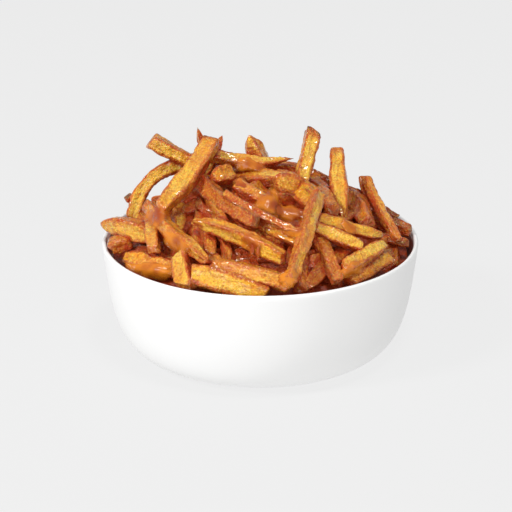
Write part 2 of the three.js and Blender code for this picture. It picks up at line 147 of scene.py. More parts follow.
# draws, and the noise drawn at the corners of a lattice
FRIES_SEED = 20731
LOOKS_SEED = 5171
UNDER_SEED = 90217
POOLS_SEED = 4409
WAVER_SEED = 77
LATTICE_START = 1000.0
LATTICE_FACTORS = (374761393, 668265263, 1440662683)
LATTICE_SEED_FACTOR = 97531
LATTICE_MIXER = 1274126177
LATTICE_BITS = 0xFFFFFFFF
LATTICE_HALF = 2147483648.0

# how fries settle
PARALLEL = 1e-15
SQUASH = 0.84
SETTLE_ROUNDS = 5
LARGEST_PUSH = 0.007
BACK_LARGEST_PUSH = 0.003

# fries laid by rule, with lengths in millimetres; each pair is the least and the largest
GOLDEN_SHARE = 0.618034
BACK_FRIES = 38
BACK_NEAREST = 10
BACK_SPREAD = 58
BACK_TURN = (0.01, 0.99)
BACK_HEADING = 1.2
BACK_LENGTH = (44, 62)
BACK_BROWNED = (0, 0.75)
BACK_BURNT = ((0, 0.9), (0, 0.6))
BACK_LIFT = -5
LEFT_BACK_LIFT = -14
LEFT_BACK = (15, 45)
RIGHT_BACK_LIFT = -9
RIGHT_BACK = (30, 55)
FILLER_FRIES = 7
FILLER_SPREAD = 30
FILLER_LENGTH = (40, 54)
FILLER_LIFT = -9
FILLER_BROWNED = (0.3, 0.9)
UNDER_FRIES = 64
UNDER_SPREAD = 60
UNDER_HEADING = 1.5
UNDER_LENGTH = (38, 56)
UNDER_LIFT = (-15, -9)
UNDER_BACK = (-5, 20)
UNDER_BROWNED = (0.4, 1)
UNDER_BURNT = (0, 0.8)
HEADING_EVENED = 1.2
LAID_TILT = (0.55, 0.95)
LAID_SAG = 0.03
LAID_WIDTH = (7.6, 10)
LAID_DEPTH = (7.2, 9)
LAID_SIDE_BEND = (-2, 2)
LAID_UP_BEND = (-1, 1.5)
LAID_ENDS = ((0.45, 0.9), (0.6, 0.9))
LAID_ROLL = (-0.6, 0.6)

# a fry's form
SLIMNESS = (0.84, 1)
ROLL_SPREAD = 0.1
TWIST = 0.35
CORNER_CROWDING = 0.45
END_CROWDING = 0.6
SQUARENESS = (4.5, 8)
FACE_HOLLOW = 0.04
WIDTH_SKEW = 0.16
DEPTH_SKEW = 0.14
TAPER = 0.1
POINTED_END = 0.5
POINTED_POWER = 2
BLUNT_POWER = 3
CAP_LENGTH = 0.0013
CAP_POWER = 2.6
SLANT = 0.35
SLANT_REACH = 0.006
PLACED_GRID = (40, 72)
BACK_GRID = (32, 56)
UNDER_GRID = (24, 40)
FRY_KINDS = (
    ("golden", PLACED_GRID),
    ("browned", PLACED_GRID),
    ("sauced", PLACED_GRID),
    ("back", BACK_GRID),
    ("under", UNDER_GRID),
)

# layers of noise: how much of each, the size of its lumps and its seed
SWELL_ACROSS = ((0.12, 0.014, 11), (0.04, 0.006, 12))
SWELL_THROUGH = ((0.12, 0.014, 13), (0.04, 0.006, 14))
CRAGS = ((0.00062, 0.0055, 21), (0.00056, 0.0025, 22))
CRAG_STRETCH = (1, 0.45, 1)
GRIT = ((0.00030, 0.0013, 23),)
CORE_LUMPS = ((1, 0.009, 3), (0.6, 0.004, 4))

# how far apart the fries are in the noise, and the share of that in the grain painted on them
GRAIN_SPREAD = 50
GRAIN_OFFSET = 0.01

# where a fry is browned, and the painted shade on its faces turned away from the eye, or from above
LIGHTLY_BURNT = (0.2, 0.2)
EDGE_POWER = 4
END_EDGE = (0.0012, 0.0002)
TIP_REACH = (0.006, 0.012)
FACE_UNEVENNESS = 0.15
# painted shade: the faces turned away from the eye, or from above for laid fries, browner than the one
# turned to it
SIDE_FACE_SHADE = (0.3, 0.6)
EYE_FACE = (0.80, 0.60)
EYE_FACE_PALER = 0.05

# noise in the finishes: the size of its lumps, its detail and its roughness
GRAIN_STRETCH = (1.0, 0.5, 1.0)
WRINKLE_STRETCH = (1.0, 0.3, 1.0)
EACH_FRY = (0.09, 0.0)
PATCHES = (0.010, 2.0, 0.5)
CRUST = (0.0034, 5.0, 0.68)
PITS = (0.0014, 3.0, 0.62)
BLOTCHES = (0.0045, 4.0, 0.62)
FLECKS = (0.0012, 2.0, 0.6)
WRINKLES = (0.0075, 4.0, 0.6)
CORE_GRAIN = (0.006, 4.0, 0.6)
SAUCE_FLOW = (0.005, 1.0)
SAUCE_DEPTH = (0.009, 1.0)
SAUCE_FINE = (0.0016, 3.0)
SAUCE_LUMPS = (0.0026, 2.0, 0.5)
GLAZE_CLOUD = (0.03, 3.0)
GLAZE_FINE = (0.0016, 2.0)
WALL_SHADE_NOISE = (0.007, 3.0)
POTATO_SHEEN = {
    "Specular IOR Level": 0.28,
    "Coat Roughness": 0.11,
    "Subsurface Weight": 0.35,
    "Subsurface Radius": (1.0, 0.35, 0.1),
    "Subsurface Scale": 0.003,
}

# each fry's cell in the sheet of maps
CELL_MARGIN = 0.04
CELL_CAP = 0.03

# how closed in a point is, which sets the painted shade in gaps, deep in the heap and on undersides
FILLED_CELL = 0.0012
FILLED_MARGIN = 8
CLOSED_REACHES = (0.0030, 0.0050, 0.0080)
DEEP_REACH = (0.002, 0.014)
UNDER_TILT = (-0.20, 0.8)
MET_WEIGHT = 0.65
DEEP_WEIGHT = 0.80
UNDER_WEIGHT = 0.36

# poured sauce
BACK_PIECES = ("fries_back", "fries_under")
SAUCE_AROUND = 56
SAUCE_RINGS = 16
SAUCE_CELL = 0.0006
SAUCE_MARGIN = 1.35
SAUCE_ABOVE = 0.010
SAUCE_BELOW = 0.016
SAUCE_WAVES = ((2, 0.10), (3, 0.10), (5, 0.08), (8, 0.05))
SAUCE_CROWDING = 0.75
SAUCE_ROUNDING = 0.8
SAUCE_SUNK = 0.0011
SAUCE_UNDERSIDE = 0.0018
SKIN_EMPTY = -1.0
SKIN_NONE = -0.5
SKIN_SPREAD_ROUNDS = 3
SKIN_LOW_SHARE = 35
SKIN_DROP = 0.002
SKIN_SPAN = 4
SKIN_BLUR = 8
SKIN_CELL_GAP = 0.001
BACK_POOLS = 14
BACK_POOL_SPREAD = 0.062
BACK_POOL_SQUASH = 0.6
BACK_POOL_MIDDLE = 0.034
BACK_POOL_REACH = 0.0025
BACK_POOL_SLOPE = 0.075
BACK_POOL_HALF_LENGTH = (0.006, 0.012)
BACK_POOL_HALF_WIDTH = (0.0032, 0.0050)
BACK_POOL_THICKNESS = (0.0006, 0.0011)
WET_EDGE = (1.45, 0.9)
WET_DEPTH = (0.014, 0.008)

# the sight line in which the visible fries are placed: from the front and above
SIGHT_POINT = np.array([0.0, 0.0, 0.030])
SIGHT_DISTANCE = 0.800
SIGHT_ANGLE = math.radians(22.4)
SIGHT_SIN = math.sin(SIGHT_ANGLE)
SIGHT_COS = math.cos(SIGHT_ANGLE)
SIGHT_UP = np.array([0.0, SIGHT_SIN, SIGHT_COS])
TO_EYE = np.array([0.0, -SIGHT_COS, SIGHT_SIN])
WORLD_UP = np.array([0.0, 0.0, 1.0])
FRONT_POOL_FACING = TO_EYE * 0.8 + WORLD_UP * 0.35

# camera and lights: each light's name, place, size and power
PICTURE_SIZE = 512
SENSOR_WIDTH = 36.0
PIXELS_PER_METRE = 1945.0
SIGHT_PIXEL = (260.1, 284.0)
CLIP_RANGE = (0.01, 50)
FLOOR_REACH = 6.0
FLOOR_REFLECTS = 0.07
FLOOR_GLOW = 0.925
WORLD_GLOW = 0.43
LIT_POINT = (0, 0, 0.05)
LIGHTS = (
    ("key", (-0.88, -0.58, 0.92), 0.24, 10.6),
    ("fill", (-0.1, -1.2, 0.22), 0.9, 6.2),
    ("top", (0.15, -0.35, 1.2), 0.20, 5.2),
)

# The visible fries, in the order in which they settle, in millimetres. Each end is seen at across
# and up in the plane through the sight point, and lies lift above the heap's surface there. Then
# come the width, the bow, how much of the width is left at each end, the kind, how browned it is,
# how burnt each end is, and the roll in radians.
PLACED_FRIES = (
    # standing and leaning at the back
    (-5.7, 76.6, 0, 1.5, 50, -9, 12.4, 0.4, 0.04, 0.9, "golden", -0.2, 0.25, 0.2, 0.2),
    (-32.3, 80.8, 2, -24.0, 60, -7, 4.8, -0.8, 0.1, 0.9, "browned", -0.3, 0.55, 0.2, -0.3),
    (-19.4, 76.2, 3, -28.8, 56, -6, 5.4, 0, 0.2, 0.9, "browned", -0.1, 0.6, 0.6, 0),
    (27.5, 78.8, 0, 18.8, 42, -9, 8.4, 0, 0.98, 0.85, "golden", -0.35, 0.85, 0.2, -0.1),
    (39.6, 69.0, 0, 43.4, 33, -5, 9.6, -1.0, 0.75, 0.3, "golden", -0.2, 0.6, 0.2, 0.1),
    (53.8, 55.6, 0, 60.0, 32, -6, 6.6, 0, 0.75, 0.9, "golden", 0.25, 0.4, 0.3, 0.1),
    (-30.0, 67.2, 1, 17.2, 64.2, -2, 8.4, -3.4, 0.9, 0.08, "golden", -0.2, 0.1, 0.95, -0.5),
    (-24.8, 54.0, 3, -13.8, 56.4, 1, 10.8, 0, 0.5, 0.5, "golden", 0.2, 0.3, 0.2, -0.4),
    (-68.4, 45.4, -8, -62.0, 40.4, -9, 4.4, 0, 0.8, 0.9, "browned", 0.9, 0.95, 0.3, 0),
    (-36.0, 62.0, -5, -65.2, 33.0, -3, 7.2, -8.2, 0.9, 0.9, "golden", -0.3, 0.1, 0.2, 0),
    (-56.6, 73.6, 2, -31.5, 60.2, 1, 8.2, 0, 0.95, 0.9, "golden", -0.1, 0.25, 0.1, 0.1),
    # round the rim, from left to right
    (-82.0, 30.8, 1, -56.0, 25.8, -4, 12.4, 0.6, 0.1, 0.9, "golden", 0.05, 0.6, 0.1, 0.3),
    (-77.6, 33.4, -3, -66.0, 30.0, -6, 3.8, 0, 0.6, 0.9, "browned", 0.5, 0.95, 0.3, 0),
    (-78.6, 19.8, -3, -65.6, 21.0, -5, 10.4, 0, 0.5, 0.6, "sauced", 0.9, 0.4, 0.1, 0.4),
    (-69.6, 12.6, -4, -40.0, 5.4, -6, 9.8, 0.4, 0.6, 0.9, "sauced", 0.05, 0.1, 0.1, -0.5),
    (-40.6, 14.6, -4, -36.4, -2.8, -2, 11.0, 0, 0.85, 0.9, "golden", -0.2, 0.1, 0.2, 0.4),
    (-35.0, 5.2, -4, 4.0, -5.4, -3, 11.4, 0.4, 0.85, 0.8, "golden", -0.1, 0.1, 0.2, 0),
    (21.0, 24.0, -9, 20.4, -4.0, -7, 8.4, 0, 0.9, 0.9, "browned", 0.8, 0.3, 0.3, -0.4),
    (28.5, 29.5, -5, 40.0, 0.6, -1, 8.4, 0, 0.9, 0.8, "sauced", 0.7, 0.3, 0.3, -0.4),
    (66.4, 13.2, -3, 46.0, 1.6, -5, 8.8, 0, 0.8, 0.9, "golden", 0.1, 0.3, 0.3, 0.4),
    (75.4, 31.6, -3, 58.0, 40.6, -7, 5.0, 0, 0.7, 0.9, "browned", 2.0, 0.95, 0.6, 0.5),
    (77.8, 27.6, -2, 56.0, 33.6, -6, 8.0, 0, 0.85, 0.9, "sauced", 1.4, 0.4, 0.3, -0.5),
    (76.6, 20.8, -6, 52.0, 27.0, -9, 5.6, 0, 0.7, 0.9, "browned", 2.0, 0.5, 0.3, 0.2),
    (70.8, 22.4, -4, 54.4, 54.4, -3, 6.4, 1.0, 0.8, 0.85, "golden", 0.25, 0.3, 0.3, 0.5),
    # the front of the heap, lower ones first
    (-41.0, 44.0, -9, -30.8, 15.6, -7, 8.6, 0, 0.9, 0.9, "browned", 1.0, 0.3, 0.3, -0.4),
    (-18.4, 30.0, -7, -17.0, 10.4, -4, 5.6, 0, 0.9, 0.9, "browned", 0.8, 0.3, 0.3, -0.3),
    (-56.0, 33.4, -4, -54.4, 17.2, -3, 6.6, 0, 0.9, 0.8, "golden", 0.05, 0.2, 0.2, 0.1),
    (-41.2, 47.0, -4, -42.6, 25.0, -3, 7.8, 0, 0.8, 0.6, "golden", -0.35, 0.2, 0.3, -0.4),
    (-33.2, 48.4, -6, -29.4, 39.0, -6, 8.2, 0, 0.8, 0.8, "browned", 1.0, 0.2, 0.2, 0.4),
    (-31.6, 49.4, -3, -18.6, 33.0, -2, 6.2, 0.5, 0.85, 0.85, "golden", 0.15, 0.2, 0.3, -0.4),
    (-27.4, 31.0, -6, -26.0, 14.0, -3, 8.4, 0, 0.9, 0.85, "browned", 0.5, 0.2, 0.3, -0.4),
    (45.8, 48.0, -1, 54.8, 30.4, -2, 10.8, 1, 0.35, 0.9, "sauced", 0.6, 0.2, 0.3, 0.5),
    (21.0, 56.4, -6, 42.0, 47.6, -3, 8.8, 0, 0.9, 0.9, "browned", 0.9, 0.3, 0.3, 0),
    (2.0, 58.6, -3, 22.6, 58.6, -7, 6.2, 1.0, 0.85, 0.9, "browned", 0.8, 0.4, 0.3, 0.4),
    (7.2, 51.4, 1, 22.2, 49.6, 0, 9.6, 0.8, 0.65, 0.65, "browned", 0.35, 0.3, 0.3, 0),
    (8.4, 44.0, -4, 36.0, 41.0, -6, 9.0, 0, 0.9, 0.9, "browned", 1.1, 0.2, 0.3, 0.3),
    (-12.6, 50.8, 0, 8.0, 39.6, -5, 8.2, 0, 0.85, 0.9, "golden", 0.1, 0.3, 0.2, -0.4),
    (-12.0, 38.0, -6, 22.0, 21.6, -1, 10.0, 0, 0.9, 0.9, "golden", 0, 0.1, 0.2, 0),
    (-31.5, 54.0, 1, -2.0, 31.5, -2, 8.4, -1.7, 0.85, 0.9, "browned", 0.75, 0.2, 0.1, 0.2),
    (25.0, 30.2, -4, 52.8, 18.4, 0, 7.2, 0, 0.9, 0.7, "golden", -0.35, 0.2, 0.2, -0.3),
    (28.5, 33.2, -2, 63.0, 24.4, 1, 7.6, -0.8, 0.9, 0.5, "golden", -0.35, 0.2, 0.4, -0.4),
    # on top
    (-18.5, 46.6, 2, 18.8, 27.2, 3, 4.6, -1.4, 0.8, 0.85, "browned", 0.9, 0.3, 0.95, -0.2),
    (-35.2, 32.2, 2, 12.4, 12.8, 2, 9.8, 2.2, 0.3, 0.85, "golden", -0.3, 0.1, 0.1, 0.5),
    (-25.5, 9.6, -2, 16.6, -0.4, 0, 8.6, 0.3, 0.6, 0.85, "sauced", 0.1, 0.1, 0.1, 0),
    (63.8, 20.4, 1, 43.8, 8.0, -1, 9.0, 0, 0.5, 0.8, "golden", -0.25, 0.2, 0.2, 0.4),
    (-57.2, 40.6, 3, -27.0, 11.8, 1, 9.4, -1.6, 0.85, 0.55, "sauced", 0, 0.75, 0.1, 0.5),
    (-24.1, 73.2, 4, -51.2, 37.8, 4, 11.6, 1.8, 0.8, 0.8, "golden", -0.2, 0.85, 0.1, 0.5),
    (29.8, 46.8, 5, 15.2, 1.4, 3, 8.8, 0, 0.85, 0.9, "sauced", 0.1, 0.2, 0.2, -0.5),
)

# Fries behind the gaps at the back, with the same numbers as those above.
GAP_FRIES = (
    (-29.0, 57.6, -8, -15.0, 59.6, -9, 9.0, 0, 0.8, 0.8, "under", 1.0, 0.3, 0.3, 0.2),
)

# Sauce over the front, in millimetres: across, up, half length, half width, the angle of its length
# over level, and its thickness, which is 0 where it only wets the fries.
FRONT_SAUCE = (
    (-27.6, 68.8, 10.5, 5.6, 55, 0.0),
    (-55.0, 34.5, 8.5, 5.6, -55, 0.8),
    (-45.0, 23.0, 9.5, 4.6, -50, 0.7),
    (-56.6, 24.0, 6.5, 2.6, 88, 0.0),
    (-58.0, 8.6, 13.0, 4.2, -17, 0.8),
    (-74.0, 19.4, 4.6, 3.6, 20, 0.0),
    (-4.6, 60.4, 8.4, 4.6, -16, 0.6),
    (-9.6, 53.6, 6.6, 3.4, -20, 0.5),
    (3.4, 43.4, 9.2, 7.6, 80, 2.8),
    (14.0, 39.0, 9.0, 6.0, -20, 1.6),
    (-4.8, 24.6, 6.4, 4.6, -60, 1.1),
    (-6.2, 16.6, 3.6, 1.2, 88, 0.8),
    (-3.0, 15.8, 3.2, 1.1, 84, 0.8),
    (16.0, 25.6, 5.6, 3.6, -24, 0.5),
    (14.6, 7.6, 5.6, 3.8, 60, 0.6),
    (-9.0, 9.0, 9.5, 3.2, -22, 0.0),
    (12.5, 3.3, 4.6, 3.6, -40, 0.7),
    (24.6, 23.5, 9.0, 3.8, 70, 0.0),
    (50.6, 40.0, 7.0, 4.0, -72, 0.0),
    (47.0, 30.4, 5.0, 3.6, -20, 0.9),
    (46.0, 10.0, 7.6, 3.6, 32, 0.8),
    (73.4, 28.0, 4.6, 3.0, -20, 0.0),
    (33.0, 18.0, 6.0, 2.8, -70, 0.0),
)


class DishSizes(bpy.types.PropertyGroup):
    """The sizes that a user would change."""

    rim_radius: bpy.props.FloatProperty(
        name="Rim radius", description="The bowl's outer radius at its rim",
        default=RIM_RADIUS, unit="LENGTH",
    )
    bowl_height: bpy.props.FloatProperty(
        name="Bowl height", description="The bowl's height to the top of its lip",
        default=BOWL_HEIGHT, unit="LENGTH",
    )
    sauce_spread: bpy.props.FloatProperty(
        name="Sauce spread", description="How far each pool of sauce spreads, against the usual",
        default=1.0, subtype="FACTOR", min=0.2, max=1.5,
    )
    crispness: bpy.props.FloatProperty(
        name="Crispness", description="How rough the fries' faces are, against the usual",
        default=1.0, subtype="FACTOR", min=0.0, max=2.0,
    )


def colour_property(name, description, default):
    """A colour that a user can set."""
    return bpy.props.FloatVectorProperty(
        name=name, description=description, default=default, subtype="COLOR", min=0.0, max=1.0,
    )


class DishColours(bpy.types.PropertyGroup):
    """The colours that a user would change."""

    glaze: colour_property("Glaze", "The bowl's white glaze", (0.845, 0.845, 0.84))
    pale: colour_property("Pale", "The lightest fried potato", (0.86, 0.49, 0.050))
    yellow: colour_property("Yellow", "The yellowest fried potato", (0.88, 0.430, 0.008))
    golden: colour_property("Golden", "Golden fried potato", (0.73, 0.215, 0.008))
    # toasted is laid on the raised crust, partly as a painted highlight
    toasted: colour_property("Toasted", "The paler crust on browned faces", (0.56, 0.150, 0.018))
    browned: colour_property("Browned", "Browned edges and faces", (0.46, 0.062, 0.008))
    burnt: colour_property("Burnt", "Burnt tips and corners", (0.095, 0.018, 0.008))
    sauce: colour_property("Sauce", "The thick sauce", (0.54, 0.150, 0.010))
    # the dark sauce colour, used for painted shade in the gaps, on the core and in the band inside the
    # bowl's wall
    sauce_shade: colour_property("Dark sauce", "Sauce between and under the fries", (0.50, 0.055, 0.009))
    floor: colour_property("Floor", "The floor", (0.852, 0.852, 0.852))


class Draws:
    """A linear congruential sequence, the same as the solids' own."""

    FACTOR = 1664525
    STEP = 1013904223
    SPAN = 4294967296

    def __init__(self, state):
        self.state = state

    def between(self, low, high):
        """The next draw, evenly spread between two values."""
        self.state = (self.state * self.FACTOR + self.STEP) % self.SPAN
        return low + (high - low) * self.state / self.SPAN


def unit(vectors):
    """Each vector divided by its length."""
    return vectors / np.linalg.norm(vectors, axis=-1, keepdims=True)


def smooth(value, low, high):
    """0 at low and 1 at high, eased at both by 3t^2 - 2t^3."""
    t = np.clip((value - low) / (high - low), 0, 1)
    return t * t * (3 - 2 * t)


def lattice_noise(points, size, seed):
    """Values from -1 to 1 drawn at the corners of cubes of a size, eased between them.

    Each corner's value comes from its three whole numbers and the seed, multiplied by large odd
    numbers, added up and mixed within 32 bits.
    """
    scaled = points / size + LATTICE_START
    corner = np.floor(scaled).astype(np.int64)
    share = scaled - corner
    share = share * share * (3 - 2 * share)
    total = np.zeros(points.shape[:-1])
    for step in itertools.product((0, 1), repeat=3):
        key = sum((corner[..., axis] + step[axis]) * LATTICE_FACTORS[axis] for axis in range(3))
        key = (key + seed * LATTICE_SEED_FACTOR) & LATTICE_BITS
        key = ((key ^ (key >> 13)) * LATTICE_MIXER) & LATTICE_BITS
        drawn = ((key ^ (key >> 16)) & LATTICE_BITS) / LATTICE_HALF - 1
        for axis in range(3):
            drawn = drawn * (share[..., axis] if step[axis] else 1 - share[..., axis])
        total += drawn
    return total


def noise_sum(points, layers):
    """Layers of noise added up, each with how much of it, the size of its lumps and its seed."""
    return sum(amount * lattice_noise(points, size, seed) for amount, size, seed in layers)


def golden_spots(count):
    """Spots spread evenly over a disc: each one's way out, from 0 to 1, and its share of a turn."""
    for i in range(count):
        yield math.sqrt((i + 0.5) / count), i * GOLDEN_SHARE % 1


def cubic_curve(points, steps):
    """A cubic curve from its first to its last point, pulled towards the two between."""
    t = np.linspace(0, 1, steps + 1)[:, None]
    first, second, third, last = (np.array(point) for point in points)
    return (
        (1 - t) ** 3 * first
        + 3 * (1 - t) ** 2 * t * second
        + 3 * (1 - t) * t**2 * third
        + t**3 * last
    )


def outer_wall(sizes):
    """The outer wall's profile: one cubic curve from the foot to the lip."""
    top = (sizes.rim_radius, sizes.bowl_height - LIP_THICKNESS / 2)
    return cubic_curve(((FOOT_RADIUS, 0), LOW_PULL, HIGH_PULL, top), BOWL_CURVE_STEPS)


def inner_wall(sizes):
    """The inner wall's profile: the outer wall's curve, moved in by the wall's thickness."""
    points = (
        (FOOT_RADIUS - WALL_THICKNESS, FLOOR_THICKNESS),
        (LOW_PULL[0] - WALL_THICKNESS, FLOOR_THICKNESS),
        (HIGH_PULL[0] - WALL_THICKNESS, HIGH_PULL[1] + WALL_THICKNESS / 2),
        (sizes.rim_radius - LIP_THICKNESS, sizes.bowl_height - LIP_THICKNESS / 2),
    )
    return cubic_curve(points, BOWL_CURVE_STEPS)


def heap_level(x, y):
    """The heap's surface: a dome, highest in the middle, falling on past its edge."""
    inside = np.maximum(HEAP_OUTERMOST, 1 - (x * x + y * y) / HEAP_EDGE_RADIUS**2)
    rise = HEAP_RISE * (1 - HEAP_LOPSIDED * x / HEAP_EDGE_RADIUS)
    return HEAP_EDGE_LEVEL + rise * np.sign(inside) * np.abs(inside) ** HEAP_ROUNDNESS


def seen_point(across, up, depth):
    """The points at depths behind the sight point that are seen at across and up."""
    above = (up * (1 + depth * SIGHT_COS / SIGHT_DISTANCE) - depth * SIGHT_SIN) / (
        SIGHT_COS + up * SIGHT_SIN / SIGHT_DISTANCE
    )
    nearer = above * SIGHT_SIN - depth * SIGHT_COS
    x = across * (SIGHT_DISTANCE - nearer) / SIGHT_DISTANCE
    return np.stack([x, depth + 0 * x, SIGHT_POINT[2] + above], axis=-1)


def point_on_heap(across, up, lift):
    """Where the line of sight at across and up meets the heap's surface raised by lift."""
    steps = int(round((FARTHEST_DEPTH - NEAREST_DEPTH) / DEPTH_STEP))
    depths = NEAREST_DEPTH + DEPTH_STEP * np.arange(steps + 1)
    sideways = min(max(across, -SIDE_REACH), SIDE_REACH)
    points = seen_point(sideways, up, depths)
    over = points[:, 2] - heap_level(points[:, 0], points[:, 1]) - lift
    crossed = np.flatnonzero(over <= 0)
    nearest = crossed[0] if len(crossed) else int(np.argmin(over))
    return seen_point(across, up, depths[nearest])


class Fry:
    """One fry: its ends, section and bow, and how it is cooked."""

    def __init__(self, start, finish, width, depth, bend, ends, roll, push):
        self.start = start
        self.finish = finish
        self.width = width
        self.depth = depth
        self.bend = bend
        self.ends = ends
        self.roll = roll
        self.push = push
        self.kind = "golden"
        self.browned = 0
        self.burnt = LIGHTLY_BURNT


def placed_fry(row, draws):
    """A fry seen from the front, with its bow in the plane of sight."""
    *lengths, first_end, last_end, kind, browned, first_burnt, last_burnt, roll = row
    across1, up1, lift1, across2, up2, lift2, width, bow = (value * MM for value in lengths)
    length = math.hypot(across2 - across1, up2 - up1)
    bend = np.array([-bow * (up2 - up1) / length, 0, 0])
    bend = bend + SIGHT_UP * (bow * (across2 - across1) / length)
    start = point_on_heap(across1, up1, lift1)
    finish = point_on_heap(across2, up2, lift2)
    slimness = draws.between(*SLIMNESS)
    roll += draws.between(-ROLL_SPREAD, ROLL_SPREAD)
    width = width / (math.cos(roll) + slimness * math.sin(abs(roll)))
    fry = Fry(start, finish, width, width * slimness, bend, (first_end, last_end), roll, TO_EYE)
    fry.kind = kind
    fry.browned = browned
    fry.burnt = (first_burnt, last_burnt)
    return fry


def laid_fry(radius, azimuth, heading, length, lift, draws):
    """A fry laid over the heap at a radius and azimuth, along a heading, tilted with the slope.

    The radius, the length and the lift are in millimetres.
    """
    radius, length, lift = radius * MM, length * MM, lift * MM
    x = radius * math.cos(azimuth)
    y = radius * math.sin(azimuth)
    reach = np.array([math.cos(heading), math.sin(heading), 0]) * length / 2
    ahead = heap_level(x + reach[0], y + reach[1])
    behind = heap_level(x - reach[0], y - reach[1])
    reach[2] = (ahead - behind) / 2 * draws.between(*LAID_TILT)
    middle = np.array([x, y, heap_level(x, y) + lift - length * LAID_SAG])
    width = draws.between(*LAID_WIDTH) * MM
    depth = draws.between(*LAID_DEPTH) * MM
    bends = (LAID_SIDE_BEND, LAID_SIDE_BEND, LAID_UP_BEND)
    bend = np.array([draws.between(*bounds) for bounds in bends]) * MM
    ends = tuple(draws.between(*bounds) for bounds in LAID_ENDS)
    roll = draws.between(*LAID_ROLL)
    return Fry(middle - reach, middle + reach, width, depth, bend, ends, roll, WORLD_UP)


def closest_approach(one, other):
    """How near two fries' middle lines come, and where on the first, from 0 to 1."""
    along = one.finish - one.start
    along_other = other.finish - other.start
    gap = one.start - other.start
    squared = along @ along
    squared_other = along_other @ along_other
    shared = along @ along_other
    towards = along @ gap
    towards_other = along_other @ gap
    apart = max(squared * squared_other - shared * shared, PARALLEL)
    share = min(1, max(0, (shared * towards_other - towards * squared_other) / apart))
    share_other = min(1, max(0, (shared * share + towards_other) / squared_other))
    share = min(1, max(0, (shared * share_other - towards) / squared))
    between = gap + along * share - along_other * share_other
    return math.sqrt(between @ between), share


def settle(fry, settled, largest_push):
    """Pushes a fry clear of those already settled, each end by its share of the contact."""
    pushed = [0.0, 0.0]
    for _ in range(SETTLE_ROUNDS):
        for other in settled:
            distance, share = closest_approach(fry, other)
            clear = (fry.depth + other.depth) / 2 * SQUASH
            if distance >= clear:
                continue
            at_start = min((clear - distance) * (1 - share), largest_push - pushed[0])
            at_finish = min((clear - distance) * share, largest_push - pushed[1])
            fry.start = fry.start + fry.push * at_start
            fry.finish = fry.finish + fry.push * at_finish
            pushed[0] += at_start
            pushed[1] += at_finish
    settled.append(fry)


def upper_fries():
    """The fries that the solid also has: those seen from the front, the back and the middle."""
    draws = Draws(FRIES_SEED)
    looks = Draws(LOOKS_SEED)
    fries = []
    for row in PLACED_FRIES:
        settle(placed_fry(row, draws), fries, LARGEST_PUSH)
    for outward, turn in golden_spots(BACK_FRIES):
        radius = BACK_NEAREST + BACK_SPREAD * outward
        azimuth = math.pi * (BACK_TURN[0] + (BACK_TURN[1] - BACK_TURN[0]) * turn)
        swing = draws.between(-BACK_HEADING, BACK_HEADING) * (HEADING_EVENED - outward)
        heading = azimuth + math.pi / 2 + swing
        length = draws.between(*BACK_LENGTH)
        across = radius * math.cos(azimuth)
        lift = BACK_LIFT + LEFT_BACK_LIFT * smooth(-across, *LEFT_BACK)
        lift += RIGHT_BACK_LIFT * smooth(across, *RIGHT_BACK)
        fry = laid_fry(radius, azimuth, heading, length, lift, draws)
        fry.kind = "back"
        fry.browned = looks.between(*BACK_BROWNED)
        fry.burnt = tuple(looks.between(*bounds) for bounds in BACK_BURNT)
        settle(fry, fries, BACK_LARGEST_PUSH)
    for outward, turn in golden_spots(FILLER_FRIES):
        radius = FILLER_SPREAD * outward
        azimuth = 2 * math.pi * turn
        heading = draws.between(0, math.pi)
        length = draws.between(*FILLER_LENGTH)
        fry = laid_fry(radius, azimuth, heading, length, FILLER_LIFT, draws)
        fry.kind = "back"
        fry.browned = looks.between(*FILLER_BROWNED)
        fries.append(fry)
    return fries


def under_fries():
    """The fries that only show in the gaps: laid all over the heap, in the layer below."""
    draws = Draws(UNDER_SEED)
    fries = []
    for outward, turn in golden_spots(UNDER_FRIES):
        azimuth = 2 * math.pi * turn
        swing = draws.between(-UNDER_HEADING, UNDER_HEADING) * (HEADING_EVENED - outward)
        heading = azimuth + math.pi / 2 + swing
        length = draws.between(*UNDER_LENGTH)
        radius = UNDER_SPREAD * outward
        sunk = smooth(-radius * math.cos(azimuth), *LEFT_BACK)
        sunk = sunk * smooth(radius * math.sin(azimuth), *UNDER_BACK)
        lift = draws.between(*UNDER_LIFT) + LEFT_BACK_LIFT * sunk
        fry = laid_fry(radius, azimuth, heading, length, lift, draws)
        fry.kind = "under"
        fry.browned = draws.between(*UNDER_BROWNED)
        fry.burnt = (draws.between(*UNDER_BURNT), draws.between(*UNDER_BURNT))
        fries.append(fry)
    for row in GAP_FRIES:
        fries.append(placed_fry(row, draws))
    return fries


def keep_in_bowl(points, sizes):
    """Points of the food moved inside the bowl's wall, and over the lip once they are above it."""
    wall = inner_wall(sizes)
    lip_level = sizes.bowl_height + WALL_GAP
    limit = np.interp(points[..., 2], wall[:, 1], wall[:, 0]) - FRY_WALL_GAP
    limit = limit + np.maximum(points[..., 2] - lip_level, 0) * OVERHANG_SLOPE
    limit = np.minimum(limit, sizes.rim_radius + LARGEST_OVERHANG)
    radius = np.hypot(points[..., 0], points[..., 1])
    inward = np.minimum(1, limit / np.maximum(radius, TINY))
    kept = points * np.stack([inward, inward, np.ones_like(inward)], axis=-1)
    kept[..., 2] = np.maximum(kept[..., 2], FLOOR_THICKNESS + FRY_WALL_GAP)
    return np.clip(kept, np.array(SOLID_LOW) + BOX_GAP, np.array(SOLID_HIGH) - BOX_GAP)


